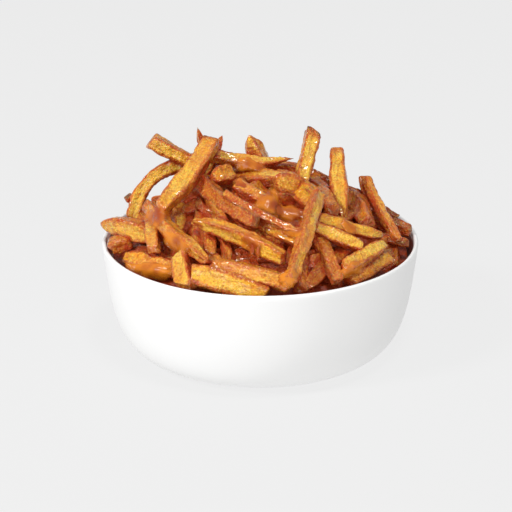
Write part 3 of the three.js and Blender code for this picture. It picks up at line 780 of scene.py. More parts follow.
def fry_section(turn, rng):
    """A fry's section at each angle: a rounded square, |x|^p + |z|^p = 1.

    Its faces are drawn in a little, and each way it is wider on one side than on the other.
    """
    power = rng.uniform(*SQUARENESS)
    radius = (np.abs(np.cos(turn)) ** power + np.abs(np.sin(turn)) ** power) ** (-1 / power)
    radius = radius * (1 - FACE_HOLLOW * np.cos(4 * turn))
    x = radius * np.cos(turn)
    z = radius * np.sin(turn)
    x = x * (1 + rng.uniform(-WIDTH_SKEW, WIDTH_SKEW) * z)
    z = z * (1 + rng.uniform(-DEPTH_SKEW, DEPTH_SKEW) * x)
    return x, z


def fry_ends(fry, t, from_end):
    """How full a fry is along its way, and the cap that closes it at both ends.

    It narrows towards a pointed end by the square of the way there, and towards a blunt one by the
    cube. The cap falls to nothing at the end, as (1 - c^p)^(1/p).
    """
    end = np.where(t < 0.5, *fry.ends)
    narrowing = np.where(end < POINTED_END, POINTED_POWER, BLUNT_POWER)
    fullness = 1 - (1 - end) * np.abs(2 * t - 1) ** narrowing
    cap = np.clip(1 - from_end / CAP_LENGTH, 0, 1)
    return fullness, (1 - cap**CAP_POWER) ** (1 / CAP_POWER)


def fry_look(fry, turn, t, length, rng):
    """Three values over a fry's surface: how near an edge, how near a burnt tip and how browned, with
    painted shade on the faces turned away.
    """
    from_end = np.minimum(t, 1 - t) * length
    edge = np.abs(np.sin(2 * turn)) ** EDGE_POWER
    edge = np.maximum(edge[None, :], smooth(from_end, *END_EDGE)[:, None])
    reach = rng.uniform(*TIP_REACH, 2)
    tip_start = fry.burnt[0] * smooth(t * length, reach[0], 0)
    tip_finish = fry.burnt[1] * smooth((1 - t) * length, reach[1], 0)
    tip = np.broadcast_to(np.maximum(tip_start, tip_finish)[:, None], edge.shape)
    face = rng.uniform(0, FACE_UNEVENNESS) * np.cos(turn - rng.uniform(0, 2 * math.pi))
    # painted shade on the faces turned away from the eye, or from above for laid fries
    face = face + rng.uniform(*SIDE_FACE_SHADE) * smooth(np.sin(turn), *EYE_FACE)
    face = face - EYE_FACE_PALER
    browned = np.broadcast_to(fry.browned + face[None, :], edge.shape)
    return np.stack([edge, tip, browned], axis=-1)


def fry_path(fry, t, twist):
    """Points, tangents, sides and faces along a quadratic curve from the start to the finish.

    The curve is pulled by twice the bend at its middle. The side is across the push and the tangent,
    and side and face turn about the tangent by the roll and by a twist that grows along the fry.
    """
    t = t[:, None]
    middle = (fry.start + fry.finish) / 2 + 2 * fry.bend
    point = (1 - t) ** 2 * fry.start + 2 * t * (1 - t) * middle + t**2 * fry.finish
    tangent = unit((1 - t) * (middle - fry.start) + t * (fry.finish - middle))
    side = unit(np.cross(np.broadcast_to(fry.push, tangent.shape), tangent))
    face = unit(np.cross(tangent, side))
    turn = fry.roll + twist * (t - 0.5)
    turned_side = side * np.cos(turn) + face * np.sin(turn)
    turned_face = face * np.cos(turn) - side * np.sin(turn)
    return point, tangent, turned_side, turned_face


def fry_surface(fry, grid, rng, sizes):
    """A fry's surface over the angle round its section and the way along it.

    The section is scaled by the half width and half depth, which swell and narrow along the fry.
    Noise of three sizes moves the surface out and in, and each end is cut at a slant. The grain is
    each point's place in the fry's own straight frame.
    """
    around, along = grid
    turn = np.arange(around) * 2 * math.pi / around
    turn = turn + CORNER_CROWDING * np.sin(4 * turn) / 4
    share = np.linspace(0, 1, along)
    t = (1 - END_CROWDING) * share + END_CROWDING * (1 - np.cos(math.pi * share)) / 2
    length = np.linalg.norm(fry.finish - fry.start)
    point, tangent, side, face = fry_path(fry, t, rng.uniform(-TWIST, TWIST))
    x, z = fry_section(turn, rng)
    from_end = np.minimum(t, 1 - t) * length
    fullness, cap = fry_ends(fry, t, from_end)

    offset = rng.uniform(-GRAIN_SPREAD, GRAIN_SPREAD, 3)
    line = np.stack([t * length, 0 * t, 0 * t], axis=-1) + offset
    taper = 1 + rng.uniform(-TAPER, TAPER) * (2 * t - 1)
    half_width = fry.width / 2 * fullness * taper * (1 + noise_sum(line, SWELL_ACROSS))
    half_depth = fry.depth / 2 * fullness * taper * (1 + noise_sum(line, SWELL_THROUGH))
    local_x = x[None, :] * half_width[:, None]
    local_z = z[None, :] * half_depth[:, None]
    local_y = np.broadcast_to((t * length)[:, None], local_x.shape)
    grain = np.stack([local_x, local_y, local_z], axis=-1)
    relief = noise_sum(grain * np.array(CRAG_STRETCH) + offset, CRAGS)
    relief = (relief + noise_sum(grain + offset, GRIT)) * sizes.crispness
    outward = unit(np.stack([local_x, local_z], axis=-1) + TINY)
    local_x = (local_x + relief * outward[..., 0]) * cap[:, None]
    local_z = (local_z + relief * outward[..., 1]) * cap[:, None]
    slant = np.where(t < 0.5, rng.uniform(-SLANT, SLANT), rng.uniform(-SLANT, SLANT))
    slant = slant * smooth(from_end, SLANT_REACH, 0.0)

    surface = (
        point[:, None, :]
        + side[:, None, :] * local_x[..., None]
        + face[:, None, :] * local_z[..., None]
        + tangent[:, None, :] * (slant[:, None] * local_x)[..., None]
    )
    look = fry_look(fry, turn, t, length, rng)
    return keep_in_bowl(surface, sizes), grain + offset * GRAIN_OFFSET, look


def tube_faces(around, along, first):
    """The quads of a closed tube of rings, numbered from first, and its two end fans."""
    ring = np.arange(around)
    row = np.arange(along - 1)[:, None]
    a = first + row * around + ring
    b = first + row * around + (ring + 1) % around
    quads = np.stack([a, b, b + around, a + around], axis=-1).reshape(-1, 4)
    start_pole = first + around * along
    last_row = first + (along - 1) * around
    near = np.stack([first + (ring + 1) % around, first + ring, ring * 0 + start_pole], axis=-1)
    far = np.stack(
        [last_row + ring, last_row + (ring + 1) % around, ring * 0 + start_pole + 1], axis=-1
    )
    return quads, np.concatenate([near, far])


def tube_maps(around, along, cell, cells):
    """The map of a tube's quads and end fans inside one cell of a square sheet of cells."""
    column, row = cell % cells, cell // cells

    def place(u, v):
        u, v = (CELL_MARGIN + (1 - 2 * CELL_MARGIN) * value for value in (u, v))
        return np.stack([(column + u) / cells, (row + v) / cells], axis=-1)

    def way(step):
        return CELL_CAP + (1 - 2 * CELL_CAP) * step / (along - 1)

    ring = np.arange(around)[None, :] + np.zeros((along - 1, 1))
    step = np.arange(along - 1)[:, None] + np.zeros((1, around))
    u0, u1 = ring / around, (ring + 1) / around
    v0, v1 = way(step), way(step + 1)
    corners = [place(u0, v0), place(u1, v0), place(u1, v1), place(u0, v1)]
    quads = np.stack(corners, axis=-2).reshape(-1, 4, 2)
    u0, u1 = u0[0], u1[0]
    middle = (u0 + u1) / 2
    low, high = np.full(around, CELL_CAP), np.full(around, 1 - CELL_CAP)
    near = np.stack([place(u1, low), place(u0, low), place(middle, low * 0)], axis=-2)
    far = np.stack([place(u0, high), place(u1, high), place(middle, low * 0 + 1)], axis=-2)
    return quads, np.concatenate([near, far])


def new_piece(name, vertices, quads, triangles, maps=None):
    """A smooth mesh object from arrays, at the origin, that rides with the dish."""
    mesh = bpy.data.meshes.new(name)
    loops = np.concatenate([quads.ravel(), triangles.ravel()]).astype(np.int32)
    counts = np.concatenate([np.full(len(quads), 4), np.full(len(triangles), 3)])
    starts = np.concatenate([[0], np.cumsum(counts)[:-1]]).astype(np.int32)
    mesh.vertices.add(len(vertices))
    mesh.vertices.foreach_set("co", vertices.astype(np.float32).ravel())
    mesh.loops.add(len(loops))
    mesh.loops.foreach_set("vertex_index", loops)
    mesh.polygons.add(len(counts))
    mesh.polygons.foreach_set("loop_start", starts)
    mesh.update(calc_edges=True)
    if maps is not None:
        layer = mesh.uv_layers.new(name="OFBake")
        layer.uv.foreach_set("vector", maps.astype(np.float32).ravel())
    mesh.polygons.foreach_set("use_smooth", np.ones(len(counts), dtype=bool))
    mesh.validate()
    piece = bpy.data.objects.new(name, mesh)
    bpy.context.scene.collection.objects.link(piece)
    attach(piece, "root")
    return piece


def paint(piece, name, values):
    """Stores numbers or vectors on a piece's vertices for its material to read."""
    kind, field = ("FLOAT", "value") if values.ndim == 1 else ("FLOAT_VECTOR", "vector")
    attribute = piece.data.attributes.new(name, kind, "POINT")
    attribute.data.foreach_set(field, values.astype(np.float32).ravel())


def repaint(piece, name, values):
    """Replaces the numbers that a piece's vertices already hold."""
    piece.data.attributes[name].data.foreach_set("value", values.astype(np.float32))


def vertices_of(piece):
    """A piece's vertices as an array."""
    flat = np.empty(len(piece.data.vertices) * 3, dtype=np.float32)
    piece.data.vertices.foreach_get("co", flat)
    return flat.reshape(-1, 3).astype(float)


def normals_of(piece):
    """A piece's vertex normals as an array."""
    flat = np.empty(len(piece.data.vertices) * 3, dtype=np.float32)
    piece.data.vertex_normals.foreach_get("vector", flat)
    return flat.reshape(-1, 3).astype(float)


def filled_cells(cloud):
    """A grid over the dish: how much of each cell's surroundings holds any of a cloud's points."""
    count = np.ceil((np.array(SOLID_HIGH) - SOLID_LOW) / FILLED_CELL).astype(int) + 2 * FILLED_MARGIN
    index = np.floor((cloud - SOLID_LOW) / FILLED_CELL).astype(int) + FILLED_MARGIN
    filled = np.zeros(count)
    filled[index[:, 0], index[:, 1], index[:, 2]] = 1
    for axis in (0, 1, 2):
        filled = (np.roll(filled, 1, axis) + filled + np.roll(filled, -1, axis)) / 3
    return filled


def closed_share(points, normals, filled):
    """How closed in each point is: the filled share met on the way out, its depth and its tilt, as a
    share of painted shade.
    """
    met = np.zeros(len(points))
    for reach in CLOSED_REACHES:
        index = np.floor((points + normals * reach - SOLID_LOW) / FILLED_CELL).astype(int)
        index = np.clip(index + FILLED_MARGIN, 0, np.array(filled.shape) - 1)
        met += filled[index[:, 0], index[:, 1], index[:, 2]]
    deep = smooth(heap_level(points[:, 0], points[:, 1]) - points[:, 2], *DEEP_REACH)
    under = smooth(-normals[:, 2], *UNDER_TILT)
    return np.clip(met * MET_WEIGHT + deep * DEEP_WEIGHT + under * UNDER_WEIGHT, 0, 1)


def fries_piece(name, fries, grid, sizes, seed):
    """One mesh of several fries, each a closed tube with a map cell of its own."""
    rng = np.random.default_rng(seed)
    around, along = grid
    cells = math.ceil(math.sqrt(len(fries)))
    vertices, grains, looks = [], [], []
    quads, fans, quad_maps, fan_maps = [], [], [], []
    for i, fry in enumerate(fries):
        surface, grain, look = fry_surface(fry, grid, rng, sizes)
        for values, kept in ((surface, vertices), (grain, grains), (look, looks)):
            poles = [values[0].mean(axis=0), values[-1].mean(axis=0)]
            kept.append(np.concatenate([values.reshape(-1, 3), poles]))
        tube, fan = tube_faces(around, along, i * (around * along + 2))
        quads.append(tube)
        fans.append(fan)
        tube_map, fan_map = tube_maps(around, along, i, cells)
        quad_maps.append(tube_map.reshape(-1, 2))
        fan_maps.append(fan_map.reshape(-1, 2))
    piece = new_piece(
        name,
        np.concatenate(vertices),
        np.concatenate(quads),
        np.concatenate(fans),
        np.concatenate(quad_maps + fan_maps),
    )
    paint(piece, "grain", np.concatenate(grains))
    paint(piece, "look", np.concatenate(looks))
    for share in ("closed", "wet"):
        paint(piece, share, np.zeros(len(piece.data.vertices)))
    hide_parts("fries")
    return piece


def turned_surface(profile, sides):
    """A closed surface: a profile of radius and height carried round the upright axis."""
    angle = np.arange(sides) * 2 * math.pi / sides
    ring = np.stack([np.cos(angle), np.sin(angle), np.zeros(sides)], axis=-1)
    rings = profile[1:-1, 0][:, None, None] * ring[None] + profile[1:-1, 1][:, None, None] * WORLD_UP
    poles = np.array([[0, 0, profile[0, 1]], [0, 0, profile[-1, 1]]])
    vertices = np.concatenate([rings.reshape(-1, 3), poles])
    quads, fans = tube_faces(sides, len(profile) - 2, 0)
    return vertices, quads, fans


def bowl_profile(sizes):
    """The bowl's section from the middle of its recess, up the outside, over the lip and back."""
    lip = LIP_THICKNESS / 2
    angle = math.pi * np.arange(1, LIP_STEPS) / LIP_STEPS
    middle = np.array([sizes.rim_radius - lip, sizes.bowl_height - lip])
    over_lip = middle + lip * np.stack([np.cos(angle), np.sin(angle)], axis=-1)
    recess = [[0, FOOT_RECESS], [FOOT_INNER_RADIUS - FOOT_RECESS, FOOT_RECESS]]
    return np.concatenate(
        [
            recess,
            [[FOOT_INNER_RADIUS, 0]],
            outer_wall(sizes),
            over_lip,
            inner_wall(sizes)[::-1],
            [[0, FLOOR_THICKNESS]],
        ]
    )


def core_profile(sizes):
    """The core's section: up the bowl's inner wall, then over a dome under the lower fries."""
    wall = inner_wall(sizes)
    edge = np.interp(CORE_WALL_LEVEL, wall[:, 1], wall[:, 0]) - WALL_GAP
    wall = wall[wall[:, 1] < CORE_WALL_LEVEL] + np.array([-WALL_GAP, WALL_GAP])
    radius = np.linspace(edge, 0, CORE_STEPS)
    level = heap_level(0 * radius, radius) - CORE_DEPTH
    dome = np.stack([radius, np.maximum(level, CORE_WALL_LEVEL)], axis=-1)
    return np.concatenate([[[0, FLOOR_THICKNESS + WALL_GAP]], wall, dome])


def nearest_seen(cloud, across, up):
    """The point of a cloud that is seen nearest the eye within a small circle at across and up."""
    above = cloud[:, 2] - SIGHT_POINT[2]
    nearer = above * SIGHT_SIN - cloud[:, 1] * SIGHT_COS
    scale = SIGHT_DISTANCE / (SIGHT_DISTANCE - nearer)
    seen_across = cloud[:, 0] * scale
    seen_up = (above * SIGHT_COS + cloud[:, 1] * SIGHT_SIN) * scale
    apart = np.hypot(seen_across - across, seen_up - up)
    close = np.flatnonzero(apart < SEEN_REACH)
    if len(close) == 0:
        close = np.argsort(apart)[:FEWEST_SEEN]
    return cloud[close[np.argmax(nearer[close])]]


def spread_largest(field, reach):
    """Each cell's largest value within reach cells both ways."""
    for axis in (0, 1):
        best = field
        for step in range(1, reach + 1):
            best = np.maximum(best, np.roll(field, step, axis))
            best = np.maximum(best, np.roll(field, -step, axis))
        field = best
    return field


def blurred(field, rounds):
    """The field averaged with its neighbours, 1 2 1, both ways, in rounds."""
    for _ in range(rounds):
        for axis in (0, 1):
            field = (np.roll(field, 1, axis) + 2 * field + np.roll(field, -1, axis)) / 4
    return field


def draped_height(local, half, cell):
    """The height of a skin draped over a cloud of points, as a square field of cells.

    Each cell holds the highest point over it. Gaps narrower than the skin can span are closed by
    spreading the largest values out and then the smallest, and the field is blurred.
    """
    count = int(math.ceil(2 * half / cell)) + 1
    field = np.full((count, count), SKIN_EMPTY)
    index = np.round((local[:, :2] + half) / cell).astype(int)
    kept = np.all((index >= 0) & (index < count), axis=1)
    np.maximum.at(field, (index[kept, 0], index[kept, 1]), local[kept, 2])
    for _ in range(SKIN_SPREAD_ROUNDS):
        field = np.where(field < SKIN_NONE, spread_largest(field, 1), field)
    floor = 0.0
    if np.any(field > SKIN_NONE):
        floor = np.percentile(field[field > SKIN_NONE], SKIN_LOW_SHARE)
    field = np.maximum(field, floor - SKIN_DROP)
    field = spread_largest(field, SKIN_SPAN)
    field = -spread_largest(-field, SKIN_SPAN)
    return blurred(field, SKIN_BLUR)


def sauce_outline(half_long, half_short, rng):
    """A pool's flat rings: an ellipse that wavers by waves round it, over the way out."""
    turn = np.arange(SAUCE_AROUND) * 2 * math.pi / SAUCE_AROUND
    waver = np.ones(SAUCE_AROUND)
    for waves, size in SAUCE_WAVES:
        waver += size * np.sin(waves * turn + rng.uniform(0, 2 * math.pi))
    out = np.linspace(0, 1, SAUCE_RINGS)[1:, None] ** SAUCE_CROWDING
    return half_long * np.cos(turn) * waver * out, half_short * np.sin(turn) * waver * out, out


def sampled(field, half, cell, x, y):
    """A field's value at x and y, from the four cells around."""
    count = field.shape[0]
    last = count - 1 - SKIN_CELL_GAP
    gx = np.clip((x + half) / cell, 0, last)
    gy = np.clip((y + half) / cell, 0, last)
    ix, iy = gx.astype(int), gy.astype(int)
    fx, fy = gx - ix, gy - iy
    low = field[ix, iy] * (1 - fy) + field[ix, iy + 1] * fy
    high = field[ix + 1, iy] * (1 - fy) + field[ix + 1, iy + 1] * fy
    return low * (1 - fx) + high * fx


def sauce_patch(cloud, place, sizes, rng):
    """A pool of sauce draped over the fries, as a closed lens over the angle and the way out.

    The upper side is the draped height plus the thickness, rounded off to the edge, and the lower
    side lies under the fries' skin. Both meet at the outline, a little under the skin.
    """
    centre, normal, along, half_long, half_short, thickness = place
    half_long, half_short = half_long * sizes.sauce_spread, half_short * sizes.sauce_spread
    along = unit(along - normal * (along @ normal))
    across = np.cross(normal, along)
    offset = cloud - centre
    half = max(half_long, half_short) * SAUCE_MARGIN
    local = np.stack([offset @ along, offset @ across, offset @ normal], axis=-1)
    near = (np.abs(local[:, 0]) < half) & (np.abs(local[:, 1]) < half)
    near &= (local[:, 2] < SAUCE_ABOVE) & (local[:, 2] > -SAUCE_BELOW)
    field = draped_height(local[near], half, SAUCE_CELL)

    x, y, out = sauce_outline(half_long, half_short, rng)
    skin = sampled(field, half, SAUCE_CELL, x, y)
    rounding = np.clip(1 - out**3, 0, 1) ** SAUCE_ROUNDING
    top = skin + (thickness + SAUCE_SUNK) * rounding - SAUCE_SUNK
    underside = SAUCE_UNDERSIDE * np.sqrt(np.clip(1 - out[:-1] ** 2, 0, 1))
    bottom = skin[:-1] - SAUCE_SUNK - underside
    middle = sampled(field, half, SAUCE_CELL, np.zeros(1), np.zeros(1))[0]

    def placed(px, py, pz):
        return centre + px[..., None] * along + py[..., None] * across + pz[..., None] * normal

    rings = np.concatenate([placed(x, y, top), placed(x[:-1], y[:-1], bottom)[::-1]])
    levels = (middle + thickness, middle - SAUCE_SUNK - SAUCE_UNDERSIDE)
    poles = np.stack([centre + normal * level for level in levels])
    thick = 1 - out**2 + 0 * x
    thick = np.concatenate([thick, thick[:-1][::-1]])
    return keep_in_bowl(rings, sizes), keep_in_bowl(poles, sizes), thick


def sauce_places(cloud, back):
    """Each pool of sauce: its middle, normal, long direction, half sizes and thickness."""
    places = []
    normal = unit(FRONT_POOL_FACING)
    for across, up, half_long, half_short, angle, thickness in FRONT_SAUCE:
        centre = nearest_seen(cloud, across * MM, up * MM)
        turn = math.radians(angle)
        along = np.array([math.cos(turn), 0, 0]) + SIGHT_UP * math.sin(turn)
        places.append((centre, normal, along, half_long * MM, half_short * MM, thickness * MM))
    draws = Draws(POOLS_SEED)
    for outward, turn in golden_spots(BACK_POOLS):
        radius = BACK_POOL_SPREAD * outward
        x = radius * math.cos(math.pi * turn)
        y = BACK_POOL_MIDDLE + radius * math.sin(math.pi * turn) * BACK_POOL_SQUASH
        close = back[np.hypot(back[:, 0] - x, back[:, 1] - y) < BACK_POOL_REACH]
        centre = close[np.argmax(close[:, 2])]
        slope = unit(np.array([x, y, BACK_POOL_SLOPE]))
        heading = draws.between(0, math.pi)
        along = np.array([math.cos(heading), math.sin(heading), 0])
        ranges = (BACK_POOL_HALF_LENGTH, BACK_POOL_HALF_WIDTH, BACK_POOL_THICKNESS)
        measures = [draws.between(*bounds) for bounds in ranges]
        places.append((centre, slope, along, *measures))
    return places


def wet_share(points, place):
    """How far sauce wets each point: 1 well inside a pool's ellipse, 0 outside a rim round it."""
    centre, normal, along, half_long, half_short, _ = place
    along = unit(along - normal * (along @ normal))
    offset = points - centre
    out = np.hypot(offset @ along / half_long, offset @ np.cross(normal, along) / half_short)
    depth = np.abs(offset @ normal)
    return smooth(out, *WET_EDGE) * smooth(depth, *WET_DEPTH)


def poured_sauce(places, cloud, sizes):
    """The vertices, quads, end fans and thickness of all the pools that stand up over the fries."""
    rng = np.random.default_rng(WAVER_SEED)
    along = 2 * (SAUCE_RINGS - 1) - 1
    vertices, quads, fans, thicks = [], [], [], []
    for place in places:
        if place[-1] == 0:
            continue
        first = len(vertices) * (SAUCE_AROUND * along + 2)
        rings, poles, thick = sauce_patch(cloud, place, sizes, rng)
        vertices.append(np.concatenate([rings.reshape(-1, 3), poles]))
        thicks.append(np.concatenate([thick.ravel(), [1.0, 1.0]]))
        tube, fan = tube_faces(SAUCE_AROUND, along, first)
        quads.append(tube[:, ::-1])
        fans.append(fan[:, ::-1])
    return [np.concatenate(arrays) for arrays in (vertices, quads, fans, thicks)]


class Link:
    """A socket in a material, with arithmetic that adds Math nodes."""

    def __init__(self, finish, socket):
        self.finish = finish
        self.socket = socket

    def joined(self, operation, first, second):
        return self.finish.add("ShaderNodeMath", {"operation": operation}, {0: first, 1: second})

    def __add__(self, other):
        return self.joined("ADD", self, other)

    __radd__ = __add__

    def __mul__(self, other):
        return self.joined("MULTIPLY", self, other)

    __rmul__ = __mul__

    def __sub__(self, other):
        return self.joined("SUBTRACT", self, other)

    def __rsub__(self, other):
        return self.joined("SUBTRACT", other, self)


def tinted(colour, *scales):
    """A colour's three values, each multiplied by its own scale and at most 1."""
    return tuple(min(1.0, value * scale) for value, scale in zip(colour, scales))


def shaded(colour, share):
    """A colour darkened to a share of itself."""
    return tuple(value * share for value in colour)


class Finish:
    """A material of one Principled surface, with short ways to add its nodes."""

    def __init__(self, name):
        self.material = bpy.data.materials.new(name)
        self.material.use_nodes = True
        self.nodes = self.material.node_tree.nodes
        self.links = self.material.node_tree.links
        self.shader = self.nodes["Principled BSDF"]

    def add(self, kind, settings, values, output=0):
        """A node of a kind, its settings set first and then its sockets, as its output's link."""
        node = self.nodes.new(kind)
        for name, value in settings.items():
            setattr(node, name, value)
        for key, value in values.items():
            self.feed(node.inputs[key], value)
        return Link(self, node.outputs[output])

    def feed(self, socket, value):
        """A link or a plain value into a socket."""
        if isinstance(value, Link):
            self.links.new(value.socket, socket)
        else:
            socket.default_value = value

    def place(self):
        """The point on the piece."""
        return self.add("ShaderNodeTexCoord", {}, {}, "Object")

    def attribute(self, name, output="Fac"):
        """A value painted on the piece."""
        return self.add("ShaderNodeAttribute", {"attribute_name": name}, {}, output)

    def parts(self, vector):
        """A vector's three numbers."""
        node = self.add("ShaderNodeSeparateXYZ", {}, {0: vector}).socket.node
        return [Link(self, node.outputs[i]) for i in range(3)]

    def stretched(self, vector, scale):
        """A vector multiplied by a scale in each direction."""
        return self.add("ShaderNodeVectorMath", {"operation": "MULTIPLY"}, {0: vector, 1: scale})

    def noise(self, vector, size, detail=3.0, roughness=0.55):
        """Noise from 0 to 1 whose lumps are about a size in metres."""
        values = {"Vector": vector, "Scale": 1 / size, "Detail": detail, "Roughness": roughness}
        return self.add("ShaderNodeTexNoise", {}, values, "Fac")

    def eased(self, value, low, high):
        """0 where a value is at low and 1 at high, eased between."""
        settings = {"interpolation_type": "SMOOTHSTEP"}
        return self.add("ShaderNodeMapRange", settings, {0: value, 1: low, 2: high})

    def mixed(self, share, first, second):
        """Two colours mixed by a share."""
        settings = {"data_type": "RGBA", "clamp_factor": True}
        node = self.add("ShaderNodeMix", settings, {0: share}).socket.node
        for index, colour in ((6, first), (7, second)):
            self.feed(node.inputs[index], colour if isinstance(colour, Link) else (*colour, 1))
        return Link(self, node.outputs[2])

    def layered(self, colour, *layers):
        """A colour with others mixed over it in turn, each by its share."""
        for share, tint in layers:
            colour = self.mixed(share, colour, tint)
        return colour

    def bumped(self, height, strength, distance):
        """A normal moved by a height."""
        values = {"Height": height, "Strength": strength, "Distance": distance}
        return self.add("ShaderNodeBump", {}, values, "Normal")

    def surface(self, **values):
        """Sets the shader's sockets, named with _ for a space."""
        for name, value in values.items():
            self.feed(self.shader.inputs[name.replace("_", " ").title()], value)

    def steady(self, values):
        """Sets sockets that stay the same all over the piece, by their own names."""
        for name, value in values.items():
            self.shader.inputs[name].default_value = value


class FryNoises:
    """What a fry's colour and relief are worked out from: its painted values and its noises."""

    def __init__(self, finish):
        grain = finish.attribute("grain", "Vector")
        lengthwise = finish.stretched(grain, GRAIN_STRETCH)
        self.edge, self.tip, self.browned = finish.parts(finish.attribute("look", "Vector"))
        self.wet = finish.attribute("wet")
        self.closed = finish.attribute("closed")
        self.each = finish.noise(grain, *EACH_FRY)
        self.patches = finish.noise(lengthwise, *PATCHES)
        self.crust = finish.noise(lengthwise, *CRUST)
        self.pits = finish.noise(lengthwise, *PITS)
        self.blotches = finish.noise(grain, *BLOTCHES)
        self.flecks = finish.noise(grain, *FLECKS)
        self.rough = self.crust * 0.5 + self.pits * 0.5
        # grooves along the fry, sunk in its relief and browned as painted shade in the creases
        wrinkles = finish.noise(finish.stretched(grain, WRINKLE_STRETCH), *WRINKLES) - 0.5
        self.wrinkled = finish.eased(wrinkles * wrinkles * -1, -0.0009, -0.0001)


def golden_potato(finish, on, colours, brown):
    """Pale, yellow and golden patches, paler where dry, with a painted highlight on the crags and
    painted shade in the pits.
    """
    dry = tinted(colours.pale, 1, 1.05, 1.6)
    yellowed = finish.eased(on.each + on.browned * 0.4, 0.40, 0.62)
    parched = finish.eased(on.patches * -0.7 + on.crust * -0.3 + on.browned * -0.2, -0.52, -0.38)
    turned = finish.eased(on.patches * 0.6 + on.crust * 0.4 + on.browned * 0.3, 0.41, 0.60)
    crisp = finish.eased(on.edge * 0.6 + on.blotches * 0.7, 0.60, 0.95)
    # painted highlight on the raised crust, painted shade in its pits
    crag_highlight = finish.eased(on.rough, 0.50, 0.68)
    pit_shade = finish.eased(on.rough * -1 + on.browned * 0.2, -0.54, -0.34)
    return finish.layered(
        colours.pale,
        (yellowed, colours.yellow),
        (parched * 0.6, dry),
        (turned * 0.8, colours.golden),
        (crisp * 0.8, colours.golden),
        (crag_highlight * 0.5, colours.pale),
        (pit_shade * 0.6, brown),
    )


def browned_potato(finish, on, colours, brown, golden):
    """Golden potato, toasted along its edges, browned as it is cooked, and burnt at its tips."""
    toasted = finish.eased(on.edge * 0.65 + on.blotches * 0.8 + on.browned * 0.25, 0.72, 1.00)
    cooked = finish.eased(on.browned + on.blotches * 0.9 + on.crust * 0.5, 1.00, 1.60)
    scorched = finish.eased(on.tip + on.blotches * 0.55 + on.edge * 0.15, 0.45, 0.95)
    corners = on.edge * 0.4 + on.blotches * 0.6 + on.browned * 0.35 + on.pits * 0.3
    singed = finish.eased(corners, 0.92, 1.25)
    charred = finish.eased(on.tip + on.blotches * 0.5 + on.edge * 0.2, 0.95, 1.3)
    return finish.layered(
        golden,
        (toasted * 0.9, brown),
        (cooked * 0.9, brown),
        (scorched * 0.85, brown),
        (singed * 0.7, colours.burnt),
        (charred, colours.burnt),
    )


def potato_finish(colours):
    """Fried potato: pale to golden, browner at its edges and ends, mottled, wet with sauce, with
    painted shade and highlights.
    """
    finish = Finish("fried_potato")
    on = FryNoises(finish)
    # the browns: mottled, and paler on the raised crust as a painted highlight
    brown = finish.mixed(finish.eased(on.rough, 0.42, 0.60), colours.browned, colours.toasted)
    # a lighter, whiter copy of the pale colour, for painted highlights
    highlight_tint = tinted(colours.pale, 1.2, 1.3, 1.5)
    glazed = finish.eased(on.wet * 0.8 + on.crust * 0.7 + on.patches * 0.3, 0.62, 1.30)
    # painted shade: browner, then the dark sauce colour, where a point is closed in by other fries,
    # deep in the heap or facing down
    gap_shade = finish.eased(on.closed + on.blotches * 0.35, 0.20, 0.52)
    deep_gap_shade = finish.eased(on.closed + on.blotches * 0.3, 0.46, 0.86)
    # painted highlights on the raised flecks, painted shade in the dents between them
    fleck_highlight = finish.eased(on.flecks, 0.51, 0.64)
    dent_shade = finish.eased(on.flecks * -1 + on.browned * 0.05, -0.48, -0.34)
    oiled = finish.eased(on.blotches * 0.5 + on.pits * 0.5, 0.45, 0.55)
    colour = finish.layered(
        browned_potato(finish, on, colours, brown, golden_potato(finish, on, colours, brown)),
        (glazed * 0.6, colours.sauce),
        (gap_shade * 0.8, brown),
        (deep_gap_shade * 0.9, colours.sauce_shade),
        (fleck_highlight * (1 - deep_gap_shade) * 0.32, highlight_tint),
        (dent_shade * 0.42, brown),
        (on.wrinkled * 0.35, brown),
    )
    height = (on.crust - 0.5) * 0.9 + (on.pits - 0.5) * 0.7 + (on.flecks - 0.5) * 0.7
    height = (height - on.wrinkled * 0.12) * (1 - glazed * 0.6)
    finish.surface(
        base_color=colour,
        roughness=0.42 + (on.pits - 0.5) * 0.5 - glazed * 0.14 - oiled * 0.20,
        coat_weight=0.2 + oiled * 0.8 + glazed * 0.3,
        normal=finish.bumped(height, 1.0, 0.0019),
    )
    finish.steady(POTATO_SHEEN)
    return finish.material


def core_finish(colours):
    """The mass of sauce and crumbs between the fries, darkened as painted shade in the gaps."""
    finish = Finish("dark_core")
    lumps = finish.noise(finish.place(), *CORE_GRAIN)
    # painted shade: the sauce colour darkened, so that the gaps read dark
    shade = shaded(colours.sauce_shade, 0.6)
    finish.surface(
        base_color=finish.mixed(finish.eased(lumps, 0.45, 0.7), shade, colours.browned),
        roughness=0.2 + lumps * 0.3,
        normal=finish.bumped(lumps, 1.0, 0.003),
    )
    return finish.material


def sauce_finish(colours):
    """Thick caramel-brown sauce: glossy, paler in places, and clear where it thins to its edge."""
    finish = Finish("brown_sauce")
    place = finish.place()
    depth = finish.noise(place, *SAUCE_DEPTH)
    fine = finish.noise(place, *SAUCE_FINE)
    flow = finish.noise(place, *SAUCE_FLOW) * 0.5 + finish.noise(place, *SAUCE_LUMPS) * 0.5
    thin = tinted(colours.sauce, 1.4, 1.65, 1.5)
    rich = tinted(colours.sauce, 0.70, 0.40, 1)
    finish.surface(
        base_color=finish.mixed(finish.eased(depth, 0.36, 0.72), thin, rich),
        roughness=0.08 + fine * 0.10,
        alpha=finish.eased(finish.attribute("thick") + fine * 0.2, 0.05, 0.85) * 0.80,
        normal=finish.bumped(flow, 0.6, 0.0018),
    )
    return finish.material


